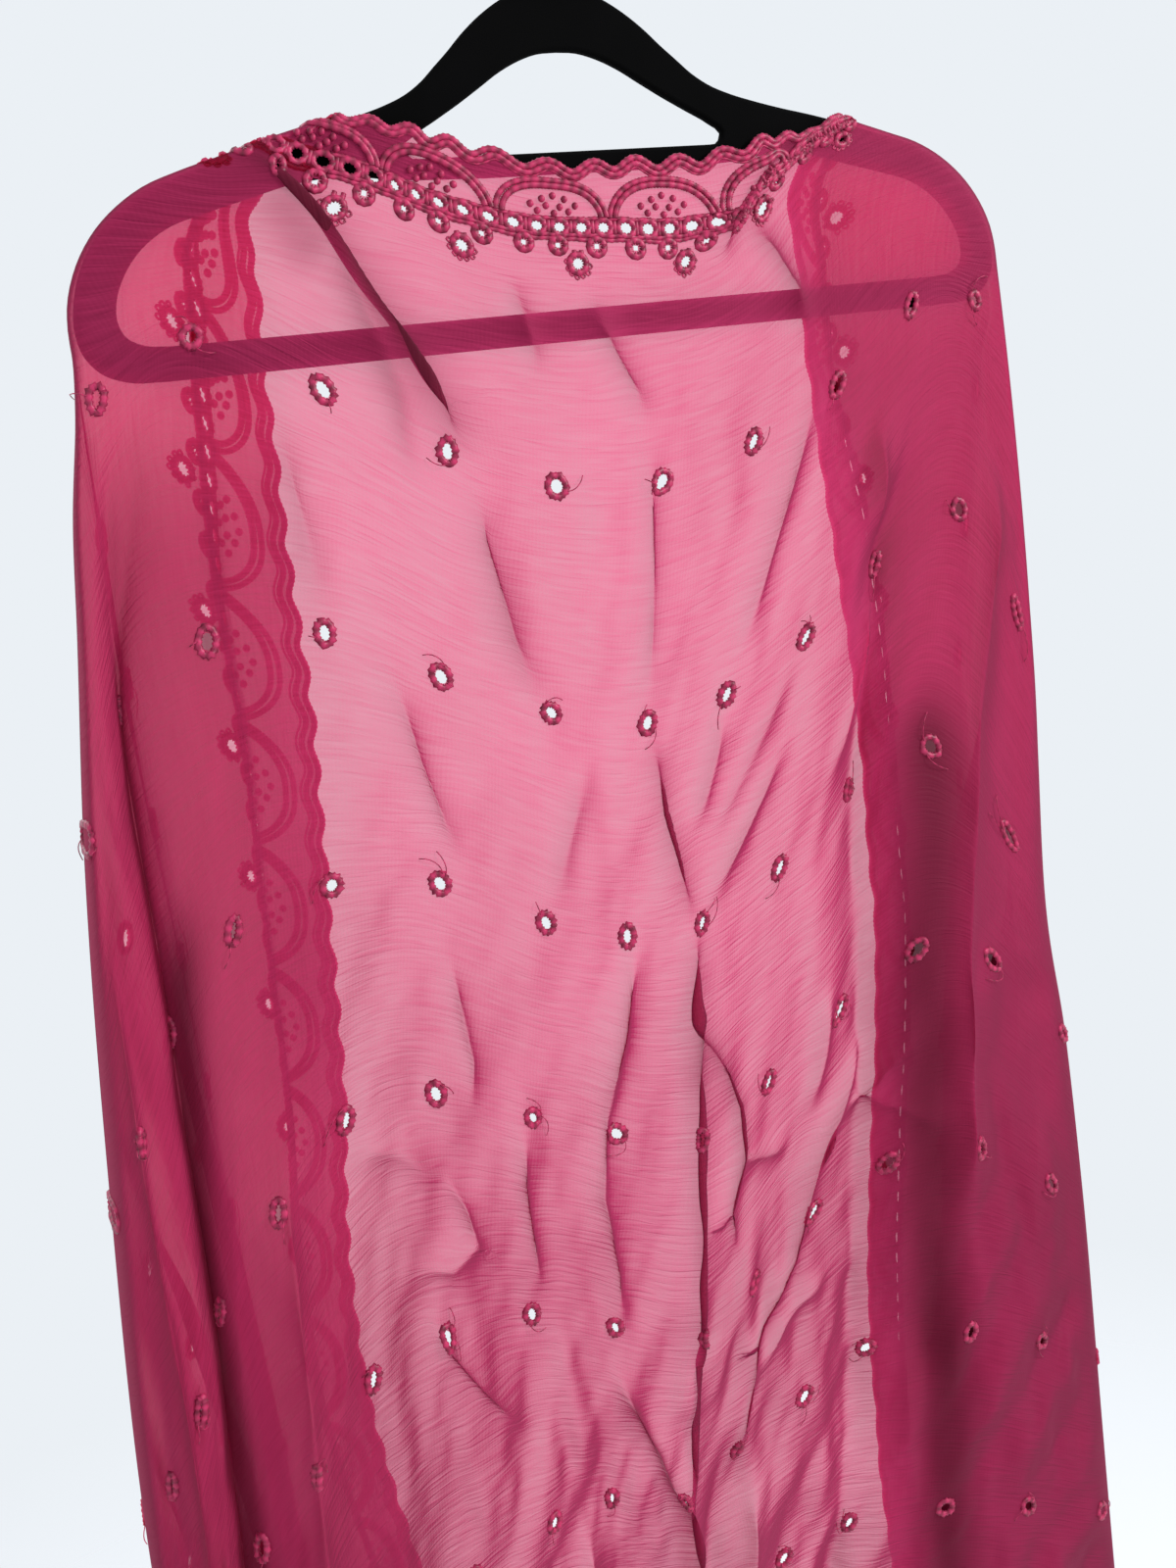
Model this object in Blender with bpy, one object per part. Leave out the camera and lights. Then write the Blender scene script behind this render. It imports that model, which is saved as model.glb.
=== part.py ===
"""A crinkle-chiffon dupatta stole hung over a flocked hanger, as closed solids.

One long rectangle of chiffon goes over the hanger: its middle hangs down in front, both ends go over
the arms and hang behind in deep folds. The cloth is laid out in its own flat coordinates, s along the
length (0 at the middle eyelet column) and t across the width (0 at the top edge), both in millimetres.
Shape tables are in millimetres from the middle of the hanger's bottom edge; objects are in metres with
the origin at the underside of the hook, +X to the wearer's left as seen from the front, +Z up.
"""

import math

import bpy
import numpy as np
from mathutils.geometry import tessellate_polygon

# ---------------------------------------------------------------- sizes, mm
HOOK_SEAT = 212.0  # underside of the hook above the bar's bottom edge
CLOTH_HALF = 0.5  # half the chiffon wall
CORD_RISE = 1.5  # how far the corded edge stands out
HALF_LENGTH = 910.0  # stole length is twice this
WIDTH = 855.0
SEAM_GAP = 0.15  # each piece stops this far short of the fold line

COLUMN_PITCH = 54.0  # eyelets along the length
ROW_FIRST = 136.0  # first eyelet row below the top edge
ROW_PITCH = 97.0
ROW_COUNT = 7
EYELET_HALF = 3.0  # half the eyelet's opening

SCALLOP_PITCH = 21.6
SCALLOP_RISE = 2.6
CORD_WIDTH = 5.5
BAND_STEP = 5.4  # half the pitch of the border's ladder of holes
BAND_HOLES = (30.4, 35.6)  # upper and lower edge of that ladder

HANGER_HALF = 2.5  # half the flocked hanger's thickness
HANGER_BEVEL = 1.6
WIRE_RADIUS = 1.8
WIRE_SIDES = 10
HOOK_RADIUS = 21.0  # of the wire's middle line
HOOK_FIRST, HOOK_SWEEP = -58.0, 258.0  # degrees: where the open loop starts, and how far it goes round
HOOK_STEPS = 14
HOOK_SHANK = ((0.0, 149.6), (0.0, 158.0), (0.6, 163.0), (3.0, 168.5))  # x, z from the hanger to the loop
CLOTH_STANDOFF = 5.2  # middle of the wall in front of and behind the arms

TIGHT_TURN = 5.0  # radius of the turn over the arm
LOOSE_TURN = 24.0  # and where the cloth falls free beside it
FOLD_ROOM = 26.0  # creases grow to their size over this much beside a fold line
FRONT_DROP = 10.0  # the front comes forwards below the hanger
LEFT_BILLOW = (28.0, -210.0, 75.0)  # where it billows: depth, x, half width
RIGHT_BILLOW = (16.0, 150.0, 60.0)

# ---------------------------------------------------------------- shape tables, mm
STATIONS = 8  # equal steps from the left fold to the right fold

# One row for each line across the front: t, s at the left fold, s at the right fold, x and z at the stations.
FRONT_ROWS = (
    (
        0, -103, 184,
        (-103, -75, -47, -8, 26, 62, 97, 119, 138),
        (98, 92, 83, 74, 74, 74, 81, 82, 89),
    ),
    (
        50, -150, 192,
        (-155, -113, -78, -37, 5, 47, 83, 118, 152),
        (85, 69, 51, 37, 31, 29, 43, 69, 84),
    ),
    (
        136, -228, 300,
        (-227, -178, -117, -59, 5, 67, 127, 182, 224),
        (-10, 16, -17, -53, -67, -56, -30, 7, -12),
    ),
    (
        233, -272, 347,
        (-257, -221, -154, -87, -18, 43, 111, 182, 226),
        (-178, -114, -107, -143, -173, -167, -135, -100, -190),
    ),
    (
        330, -326, 355,
        (-277, -248, -204, -130, -57, 3, 74, 145, 223),
        (-338, -276, -220, -220, -262, -276, -249, -214, -318),
    ),
    (
        427, -366, 385,
        (-291, -259, -225, -159, -82, -8, 63, 142, 230),
        (-485, -421, -353, -311, -349, -381, -351, -314, -400),
    ),
    (
        524, -396, 415,
        (-296, -270, -236, -176, -97, -22, 50, 138, 234),
        (-622, -546, -479, -427, -445, -484, -444, -424, -505),
    ),
    (
        621, -420, 430,
        (-299, -277, -245, -193, -108, -43, 35, 130, 235),
        (-745, -671, -608, -565, -547, -565, -541, -531, -600),
    ),
    (
        718, -440, 445,
        (-301, -283, -253, -201, -123, -57, 19, 118, 236),
        (-850, -772, -692, -620, -641, -662, -631, -636, -700),
    ),
    (
        855, -460, 462,
        (-302, -292, -261, -215, -134, -65, 3, 102, 238),
        (-985, -928, -868, -803, -775, -790, -768, -772, -835),
    ),
)

# Where the cloth turns over the hanger and then falls free: t, x, z, for each side.
RIDGE = {
    -1: (
        (0, -102.7, 98.2), (25, -128.5, 92), (50, -154.7, 84.5), (61, -171.4, 79.8), (71, -185.6, 74.8),
        (81, -199, 66.5), (90, -208.8, 57.4), (99, -216.8, 46), (107, -221.8, 34.4), (114, -223.7, 24.6),
        (122, -224.2, 12.8), (136, -227.5, -10), (160, -236, -50), (185, -243, -94),
    ),
    1: (
        (0, 137.7, 89.9), (25, 145, 87.7), (50, 153.1, 85.3), (59, 167.1, 81.1), (68.7, 181.7, 76.5),
        (79, 196, 68.8), (88.8, 207.8, 58.7), (97.4, 215.9, 47.9), (106, 221.4, 35.6), (113, 223.3, 25.2),
        (120, 223.6, 14.6), (136, 224.5, -12),
    ),
}

# Lower end of each hanging end: inner and outer corner as x, z.
ENDS = {
    -1: {"inner": (-152, -725), "outer": (-290, -1235)},
    1: {"inner": (104, -725), "outer": (232, -1205)},
}

PLEAT_DEPTH = 40.0  # a pleat behind each eyelet row of an end
PLEAT_BULGE = 2.0  # how far a pleat's flanks stand over its foot
PLEAT_LEAN = {-1: 0.28, 1: 0.2}  # inwards, for each mm of depth
PLEATS_BEGIN = 150.0  # t where the pleats start
PLEATS_GROW = 80.0  # t they take to reach their depth
END_DROP_BACK = 7.0  # an end hangs further back below the hanger
STEP_BACK = 12.0  # and further again beside its first pleat
EDGE_EASE = 4.0  # cloth drawn outwards behind the corded edge
# The lengthwise roll beside an end's corded edge: middle t, half width, depth, outward lean per mm of depth.
ROLL = {
    -1: (22, 26, 14, 0.5),
    1: (34, 34, 19, 1.1),
}

# How the inner edge of each hanging end falls: distance below the arm, x.
INNER_EDGE = {
    -1: (
        (0, -103), (24, -136), (68, -145), (143, -150), (243, -152), (331, -160), (407, -167), (473, -177),
        (552, -182), (645, -174), (740, -160), (807, -152),
    ),
    1: (
        (0, 138), (26, 116), (66, 114), (113, 114), (144, 116), (222, 124), (336, 126), (385, 125), (430, 121),
        (480, 114), (534, 105), (588, 98), (644, 94), (720, 92), (807, 94),
    ),
}

# The largest creases of the front, on the flat cloth: s and t of their points, half width, rise.
CREASES = (
    (((-152, 30), (-124, 54), (-98, 80), (-74, 110), (-56, 142), (-42, 172)), 20, 3.5),
    (((105, 322), (102, 380), (106, 427), (112, 520), (122, 621), (126, 720), (130, 850)), 13, 5.0),
    (((126, 8), (112, 26), (96, 42), (84, 60)), 15, 4.0),
    (((-206, 150), (-216, 233), (-222, 330), (-230, 427), (-242, 524), (-256, 640), (-270, 850)), 17, -9.0),
    (((212, 190), (220, 330), (236, 427), (248, 524), (258, 640), (264, 850)), 22, -7.0),
    (((92, 352), (116, 384), (136, 424), (141, 447), (132, 470), (146, 505)), 13, 4.0),
    (((49, 540), (64, 562), (88, 591), (110, 628), (140, 680)), 14, 5.0),
    (((250, 452), (216, 478), (208, 510), (200, 540), (168, 560), (168, 590), (160, 640)), 14, 5.0),
    (((-96, 590), (-100, 720), (-104, 850)), 17, 6.0),
    (((30, 620), (32, 740), (38, 850)), 16, 5.0),
    (((176, 640), (180, 740), (184, 850)), 17, 6.0),
    (((-150, 400), (-160, 520), (-172, 640), (-172, 850)), 18, 6.0),
    (((300, 190), (296, 300), (302, 430), (318, 560)), 16, 5.0),
    (((-268, 260), (-288, 400), (-312, 560), (-330, 760)), 16, 5.0),
)

# Half outline of the flocked hanger, from the neck's top outwards, down and along the bottom bar.
OUTER = (
    (0, 149), (12, 147), (23, 142.5), (34, 136), (43, 129), (50, 122.5), (57, 116.5), (64, 110.5),
    (72, 105.5), (82, 101.5), (94, 98), (108, 94.5), (124, 91),
    (140, 87), (156, 82.5), (172, 78), (184, 73.8),
    (196, 66.8), (206, 58), (214, 47), (219.5, 34), (221.5, 22),
    (220, 13), (214.5, 5.5), (205, 1.2), (190, 0),
)
LOOP = (
    (40, 71), (82, 72.5), (100, 74.5), (124, 73), (145, 68), (163, 63.5), (178, 59), (190, 51.5),
    (198.5, 42), (203.5, 32), (204.5, 24), (202.5, 18.5), (197, 15), (186, 13.5),
)
NECK_HOLE = (
    (0, 121), (9, 120.5), (18, 118), (28, 113.5), (38, 107.5), (49, 101), (60, 95), (70, 89.5), (76, 84.5),
    (74, 81), (66, 80),
)


# ---------------------------------------------------------------- curves
def ease(value):
    """Return the smooth step of value clamped to 0..1."""
    value = np.clip(value, 0.0, 1.0)
    return value * value * (3.0 - 2.0 * value)


def slopes(knots, values):
    """Return the tangent at each knot for a cubic through the values, which may be rows of a table."""
    knots = np.asarray(knots, float)
    values = np.asarray(values, float)
    step = np.diff(knots).reshape((-1,) + (1,) * (values.ndim - 1))
    chord = np.diff(values, axis=0) / step
    inner = (chord[:-1] * step[1:] + chord[1:] * step[:-1]) / (step[:-1] + step[1:])
    return np.concatenate([chord[:1], inner, chord[-1:]])


def cubic(u, step, low, high, slope_low, slope_high):
    """Return the cubic between two values with the given tangents, at u from 0 to 1."""
    return (
        (1 + 2 * u) * (1 - u) ** 2 * low
        + u * u * (3 - 2 * u) * high
        + step * u * (1 - u) ** 2 * slope_low
        + step * u * u * (u - 1) * slope_high
    )


def through(knots, values, where):
    """Return a smooth curve through values at the knots, straight beyond both ends."""
    knots = np.asarray(knots, float)
    values = np.asarray(values, float)
    where = np.asarray(where, float)
    slope = slopes(knots, values)
    span = np.clip(np.searchsorted(knots, where, side="right") - 1, 0, len(knots) - 2)
    step = knots[span + 1] - knots[span]
    u = (where - knots[span]) / step
    over = np.where(u < 0.0, u, np.where(u > 1.0, u - 1.0, 0.0)) * step
    u = np.clip(u, 0.0, 1.0)
    curve = cubic(u, step, values[span], values[span + 1], slope[span], slope[span + 1])
    return curve + over * np.where(u >= 1.0, slope[span + 1], slope[span])


ROW_T = np.array([row[0] for row in FRONT_ROWS], float)
FRONT_X = np.array([row[3] for row in FRONT_ROWS], float)
FRONT_Z = np.array([row[4] for row in FRONT_ROWS], float)


def fold_s(side, t):
    """Return s of the fold line on one side (-1 left, 1 right) at t."""
    column = 1 if side < 0 else 2
    return through(ROW_T, [row[column] for row in FRONT_ROWS], t)


def fold_xz(side, t):
    """Return x and z of the fold line on one side at t: along the arm, then falling free."""
    ridge = np.array(RIDGE[side], float)
    station = 0 if side < 0 else STATIONS
    knots = np.concatenate([ridge[:, 0], ROW_T[3:]])
    x = through(knots, np.concatenate([ridge[:, 1], FRONT_X[3:, station]]), t)
    z = through(knots, np.concatenate([ridge[:, 2], FRONT_Z[3:, station]]), t)
    return x, z


def table_at(table, station, t):
    """Return a front table's value at fractional stations and t."""
    across = np.stack([through(np.arange(STATIONS + 1), row, station) for row in table], axis=0)
    slope = slopes(ROW_T, across)
    span = np.clip(np.searchsorted(ROW_T, t, side="right") - 1, 0, len(ROW_T) - 2)
    pick = np.arange(len(station))
    step = ROW_T[span + 1] - ROW_T[span]
    u = np.clip((t - ROW_T[span]) / step, 0.0, 1.0)
    before = np.minimum(t - ROW_T[0], 0.0) * slope[0, pick]
    low, high = across[span, pick], across[span + 1, pick]
    return before + cubic(u, step, low, high, slope[span, pick], slope[span + 1, pick])


# ---------------------------------------------------------------- the draped sheet
def turn_radius(t):
    """Return how far from the fold line the cloth has turned flat: tight over the arm, soft below."""
    return TIGHT_TURN + (LOOSE_TURN - TIGHT_TURN) * ease((t - 130.0) / 250.0)


def turned(distance, radius):
    """Return 0..1 along a quarter circle that leaves the fold line."""
    rest = 1.0 - np.clip(distance / radius, 0.0, 1.0)
    return np.sqrt(np.clip(1.0 - rest * rest, 0.0, 1.0))


def beside(line, s, t):
    """Return how far places lie from a line, and a fade that is 0 at both of its ends."""
    nearest = np.full(s.shape, np.inf)
    along = np.zeros_like(s)
    run = 0.0
    for (s0, t0), (s1, t1) in zip(line, line[1:]):
        length = math.hypot(s1 - s0, t1 - t0)
        ds, dt = (s1 - s0) / length, (t1 - t0) / length
        reach = np.clip((s - s0) * ds + (t - t0) * dt, 0.0, length)
        gap = np.hypot(s - s0 - reach * ds, t - t0 - reach * dt)
        along = np.where(gap < nearest, run + reach, along)
        nearest = np.minimum(nearest, gap)
        run += length
    taper = min(0.35 * run, 40.0)
    return nearest, ease(along / taper) * ease((run - along) / taper)


def crease_at(s, t):
    """Return how far the front's creases push it out at s, t."""
    push = np.zeros_like(s)
    for line, half_width, rise in CREASES:
        off, fade = beside(line, s, t)
        push += rise * fade * np.exp(-((off / half_width) ** 2))
    return push


def billow(x, shape):
    """Return how far a billow brings the cloth forwards at x."""
    deep, middle, half_width = shape
    return deep * np.exp(-(((x - middle) / half_width) ** 2))


def front_point(s, t):
    """Return the middle of the wall of the front stretch as an N x 3 array, mm."""
    left, right = fold_s(-1, t), fold_s(1, t)
    station = np.clip((s - left) / (right - left), 0.0, 1.0) * STATIONS
    x = table_at(FRONT_X, station, t)
    z = table_at(FRONT_Z, station, t)
    for side, last in ((-1, 0), (1, STATIONS)):
        weight = np.clip(1.0 - np.abs(station - last), 0.0, 1.0)
        edge = np.full_like(station, last)
        fold_x, fold_z = fold_xz(side, t)
        x = x + weight**2 * (fold_x - table_at(FRONT_X, edge, t))
        z = z + weight**2 * (fold_z - table_at(FRONT_Z, edge, t))
    flatter = 1.0 - 0.75 * ease((x - 110.0) / 90.0)
    depth = CLOTH_STANDOFF + FRONT_DROP * ease(-z / 200.0) * flatter
    depth = depth + ease(-z / 450.0) * (billow(x, LEFT_BILLOW) + billow(x, RIGHT_BILLOW))
    inset = np.minimum(s - left, right - s)
    depth = depth + np.maximum(crease_at(s, t) * ease(inset / FOLD_ROOM), CLOTH_STANDOFF - depth)
    round_off = turned(inset, turn_radius(t))
    y = -SEAM_GAP - (depth - SEAM_GAP) * round_off
    return np.stack([x, y, z], axis=1)


def inner_swing(side, share):
    """Return how far an end's inner edge swings off the straight way to its lower corner."""
    table = np.array(INNER_EDGE[side], float)
    first_x = float(fold_xz(side, 0.0)[0])
    straight = first_x + (ENDS[side]["inner"][0] - first_x) * share
    return through(table[:, 0], table[:, 1], share * table[-1, 0]) - straight


def end_point(side, s, t):
    """Return the middle of the wall of one hanging end as an N x 3 array, mm. s grows downwards here."""
    start = np.abs(fold_s(side, t))
    fold_x, fold_z = fold_xz(side, t)
    run = np.maximum(s - start, 0.0)
    share = np.clip(run / (HALF_LENGTH - start), 0.0, 1.0)
    down = np.clip(t / WIDTH, 0.0, 1.0)
    (inner_x, inner_z), (outer_x, outer_z) = ENDS[side]["inner"], ENDS[side]["outer"]
    end_x = inner_x + (outer_x - inner_x) * down
    end_z = inner_z + (outer_z - inner_z) * down**1.15
    z = fold_z + (end_z - fold_z) * share
    swing_width = 58.0 + 320.0 * share
    x = fold_x + (end_x - fold_x) * share
    x = x + inner_swing(side, share) * np.exp(-((np.maximum(t, 0.0) / swing_width) ** 2))

    phase = 2.0 * math.pi * (t - ROW_FIRST) / ROW_PITCH
    pleat = ease((t - PLEATS_BEGIN) / PLEATS_GROW) * ease(run / 110.0)
    crest = pleat * 0.5 * (1.0 + np.cos(phase))
    depth = CLOTH_STANDOFF + END_DROP_BACK * ease(-z / 200.0) + PLEAT_DEPTH * crest
    x = x + side * (PLEAT_BULGE * pleat * np.sin(2.0 * phase) - PLEAT_LEAN[side] * PLEAT_DEPTH * crest)

    loose = ease(run / 120.0)
    unpleated = 1.0 - pleat
    depth = depth + STEP_BACK * ease((t - 80.0) / 70.0) * ease(-z / 30.0) * unpleated
    middle, half, deep, lean = ROLL[side]
    roll = deep * 0.5 * (1.0 + np.cos(math.pi * np.clip((t - middle) / half, -1.0, 1.0)))
    roll = roll * loose * ease(-z / 130.0) * unpleated
    depth = depth + roll
    x = x + side * lean * roll
    eased = (1.0 - np.exp(-np.maximum(t, -6.0) / 20.0)) * np.exp(-((t / 60.0) ** 2))
    x = x + side * EDGE_EASE * eased * loose
    y = SEAM_GAP + (depth - SEAM_GAP) * turned(run, turn_radius(t))
    return np.stack([x, y, z], axis=1)


def scallop(s):
    """Return t of the scalloped edge at s."""
    return -SCALLOP_RISE * np.cos(2.0 * math.pi * s / SCALLOP_PITCH)


# ---------------------------------------------------------------- rows of the wall
def eyelet_rows():
    """Return t of every eyelet row."""
    return [ROW_FIRST + ROW_PITCH * row for row in range(ROW_COUNT)]


def eyelet_columns():
    """Return s of every eyelet column."""
    count = int(HALF_LENGTH // COLUMN_PITCH)
    return [COLUMN_PITCH * column for column in range(-count, count + 1)]


TURN_STEPS = 4  # points from the fold line to the end of the turn


def near_fold(t):
    """Return distances from the fold line where the turn is cut into flats."""
    radius = float(turn_radius(t))
    return [0.0, 0.14 * radius, 0.5 * radius, radius]


class Sheet:
    """A wall built row by row over (s, t), each row with its own points along s."""

    def __init__(self, place, flip, two_seams):
        self.place = place
        self.flip = flip
        self.two_seams = two_seams
        self.points = []
        self.along = []
        self.rise = []
        self.on_seam = []
        self.faces = []

    def row(self, s_values, t_values, rise=0.0):
        """Add a row's points and return their numbers."""
        s_values = np.asarray(s_values, float)
        t_values = np.broadcast_to(np.asarray(t_values, float), s_values.shape)
        start = len(self.points)
        self.points.extend(self.place(s_values, t_values))
        self.along.extend(s_values)
        self.rise.extend([rise] * len(s_values))
        marks = [False] * len(s_values)
        marks[0] = True
        marks[-1] = self.two_seams
        self.on_seam.extend(marks)
        return list(range(start, start + len(s_values)))

    def face(self, a, b, c):
        """Add a triangle of the wall's middle, turned to face out."""
        self.faces.append((a, c, b) if self.flip else (a, b, c))

    def zip_to(self, upper, lower):
        """Join two rows of any lengths: turn to turn beside the fold lines, and by s between them."""
        turn = TURN_STEPS
        self.ladder(upper[:turn], lower[:turn], ())
        if self.two_seams:
            self.ladder(upper[-turn:], lower[-turn:], ())
            upper, lower = upper[turn - 1 : 1 - turn], lower[turn - 1 : 1 - turn]
        else:
            upper, lower = upper[turn - 1 :], lower[turn - 1 :]
        i = j = 0
        while i < len(upper) - 1 or j < len(lower) - 1:
            step_upper = j == len(lower) - 1
            if not step_upper and i < len(upper) - 1:
                over_lower = abs(self.along[upper[i + 1]] - self.along[lower[j]])
                step_upper = over_lower <= abs(self.along[lower[j + 1]] - self.along[upper[i]])
            if step_upper:
                self.face(upper[i], lower[j], upper[i + 1])
                i += 1
            else:
                self.face(upper[i], lower[j], lower[j + 1])
                j += 1

    def ladder(self, upper, lower, open_cells):
        """Join two rows of equal length cell by cell, leaving the open cells out."""
        for i in range(len(upper) - 1):
            if i in open_cells:
                continue
            self.face(upper[i], lower[i], upper[i + 1])
            self.face(upper[i + 1], lower[i], lower[i + 1])

    def solid(self, name, material):
        """Thicken the sheet both ways into one closed object."""
        middle = np.array(self.points)
        faces = np.array(self.faces)
        spans = np.cross(middle[faces[:, 1]] - middle[faces[:, 0]], middle[faces[:, 2]] - middle[faces[:, 0]])
        normal = np.zeros_like(middle)
        for corner in range(3):
            np.add.at(normal, faces[:, corner], spans)
        normal[np.array(self.on_seam), 1] = 0.0
        size = np.linalg.norm(normal, axis=1, keepdims=True)
        normal = np.where(size > 1e-6, normal / np.maximum(size, 1e-6), (0.0, 0.0, 1.0))
        outer = middle + normal * (CLOTH_HALF + np.array(self.rise))[:, None]
        inner = middle - normal * CLOTH_HALF
        count = len(middle)
        shell = [tuple(face) for face in faces]
        shell += [(c + count, b + count, a + count) for a, b, c in faces]
        edges = {(int(face[k]), int(face[(k + 1) % 3])) for face in faces for k in range(3)}
        for a, b in sorted(edges):
            if (b, a) not in edges:
                shell.append((b, a, a + count))
                shell.append((b, a + count, b + count))
        return add_object(name, np.concatenate([outer, inner]), shell, material)


def add_object(name, points_mm, faces, material):
    """Add a mesh object from points in millimetres above the bar's bottom edge."""
    points = (np.asarray(points_mm, float) - (0.0, 0.0, HOOK_SEAT)) / 1000.0
    mesh = bpy.data.meshes.new(name)
    mesh.from_pydata([tuple(p) for p in points], [], [tuple(int(i) for i in face) for face in faces])
    mesh.validate()
    mesh.materials.append(material)
    item = bpy.data.objects.new(name, mesh)
    bpy.context.scene.collection.objects.link(item)
    return item


def inside(values, low, high):
    """Return the values strictly between low and high."""
    return [value for value in values if low < value < high]


# Where a row's lines lie, from each eyelet column.
PLAIN = (0.0,)
FINER = (-18.0, 0.0, 18.0)
CUT = (-EYELET_HALF, EYELET_HALF)
PLAIN_FRONT = (0.0, COLUMN_PITCH / 2)
CUT_FRONT = (-EYELET_HALF, EYELET_HALF, COLUMN_PITCH / 2)

# t of the plain rows between the top edge and the first eyelets.
ARCH_ROW = 13.0
EDGE_ROWS = (17.0, 34.0)
BAND_ROWS = (50.0, 61.0, 71.0, 81.0, 90.0, 98.5, 106.5, 114.0, 122.5)
PLEAT_SHARES = (0.27, 0.5, 0.73)  # rows between two eyelet rows of an end
HEM_ROOM = 65.0  # from the last eyelet row to the plain row above the hem


def front_lines(t, offsets=PLAIN_FRONT):
    """Return the points along s of a front row: flats of both turns, and lines between them."""
    left, right = float(fold_s(-1, t)), float(fold_s(1, t))
    steps = near_fold(t)
    if offsets:
        middle = sorted(c + d for c in eyelet_columns() for d in offsets)
    else:
        count = int(HALF_LENGTH / 2 / BAND_STEP)
        middle = [BAND_STEP * k for k in range(-count, count + 1)]
    margin = steps[-1] + 3.0
    first = [left + d for d in steps]
    last = [right - d for d in reversed(steps)]
    return first + inside(middle, left + margin, right - margin) + last


def front_drape(material):
    """Build the stretch that hangs in front, between the two fold lines."""
    sheet = Sheet(front_point, flip=False, two_seams=True)
    fine = front_lines(0.0, offsets=())
    edge = sheet.row(fine, scallop(np.array(fine)), CORD_RISE)
    cord = sheet.row(fine, scallop(np.array(fine)) + CORD_WIDTH, CORD_RISE)
    sheet.ladder(edge, cord, ())
    above = sheet.row(front_lines(ARCH_ROW), ARCH_ROW)
    sheet.zip_to(cord, above)
    ladder = front_lines(sum(BAND_HOLES) / 2, offsets=())
    upper = sheet.row(ladder, BAND_HOLES[0])
    lower = sheet.row(ladder, BAND_HOLES[1])
    cells = [
        i for i in range(len(ladder) - 1)
        if abs(ladder[i + 1] - ladder[i] - BAND_STEP) < 0.01 and round(ladder[i] / BAND_STEP) % 2 == 0
    ]
    sheet.zip_to(above, upper)
    sheet.ladder(upper, lower, cells)
    above = lower
    for t in BAND_ROWS:
        line = sheet.row(front_lines(t), t)
        sheet.zip_to(above, line)
        above = line
    columns = eyelet_columns()
    for t in eyelet_rows():
        line = front_lines(t, CUT_FRONT)
        upper = sheet.row(line, t - EYELET_HALF)
        lower = sheet.row(line, t + EYELET_HALF)
        cells = [i for i in range(len(line) - 1) if is_eyelet(line[i], line[i + 1], columns)]
        sheet.zip_to(above, upper)
        sheet.ladder(upper, lower, cells)
        half_way = t + ROW_PITCH / 2 if t + ROW_PITCH < WIDTH else t + HEM_ROOM
        above = sheet.row(front_lines(half_way), half_way)
        sheet.zip_to(lower, above)
    hem = sheet.row(front_lines(WIDTH), WIDTH)
    sheet.zip_to(above, hem)
    return sheet.solid("front_drape", material)


def is_eyelet(first, second, columns):
    """Return True if the cell between two lines is an eyelet's opening."""
    middle = (first + second) / 2
    return abs(second - first - 2 * EYELET_HALF) < 0.01 and min(abs(middle - c) for c in columns) < 0.01


def end_lines(side, t, offsets=PLAIN):
    """Return the points along s of a hanging end's row, from its fold line to its lower end."""
    start = abs(float(fold_s(side, t)))
    steps = near_fold(t)
    if offsets:
        below = sorted(c + d for c in eyelet_columns() if c > 0 for d in offsets)
    else:
        below = [BAND_STEP * k for k in range(int(HALF_LENGTH / BAND_STEP) + 1)]
    first = [start + d for d in steps]
    return first + inside(below, first[-1] + 4.0, HALF_LENGTH - 3.0) + [HALF_LENGTH]


def hanging_end(name, side, material):
    """Build the stretch that hangs behind one arm."""
    def place(s, t):
        """Place this side's end."""
        return end_point(side, s, t)

    sheet = Sheet(place, flip=side < 0, two_seams=False)
    fine = end_lines(side, 0.0, offsets=())
    edge = sheet.row(fine, scallop(np.array(fine)), CORD_RISE)
    cord = sheet.row(fine, scallop(np.array(fine)) + CORD_WIDTH, CORD_RISE)
    sheet.ladder(edge, cord, ())
    above = cord
    for t in EDGE_ROWS + BAND_ROWS:
        line = sheet.row(end_lines(side, t, FINER if t == EDGE_ROWS[0] else PLAIN), t)
        sheet.zip_to(above, line)
        above = line
    columns = eyelet_columns()
    for t in eyelet_rows():
        line = end_lines(side, t, CUT)
        upper = sheet.row(line, t - EYELET_HALF)
        lower = sheet.row(line, t + EYELET_HALF)
        cells = [i for i in range(len(line) - 1) if is_eyelet(line[i], line[i + 1], columns)]
        sheet.zip_to(above, upper)
        sheet.ladder(upper, lower, cells)
        above = lower
        for share in PLEAT_SHARES:
            between = t + ROW_PITCH * share
            line = sheet.row(end_lines(side, between), between)
            sheet.zip_to(above, line)
            above = line
    crest = ROW_FIRST + ROW_PITCH * ROW_COUNT
    for t in (crest - EYELET_HALF, crest + EYELET_HALF, crest + ROW_PITCH * PLEAT_SHARES[0], WIDTH):
        line = sheet.row(end_lines(side, t), t)
        sheet.zip_to(above, line)
        above = line
    return sheet.solid(name, material)


# ---------------------------------------------------------------- the hanger
def mirrored(half):
    """Return a closed outline from its half on the +X side."""
    left = [(-x, z) for x, z in reversed(half) if x > 0]
    return np.array(list(half) + left, float)


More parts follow.
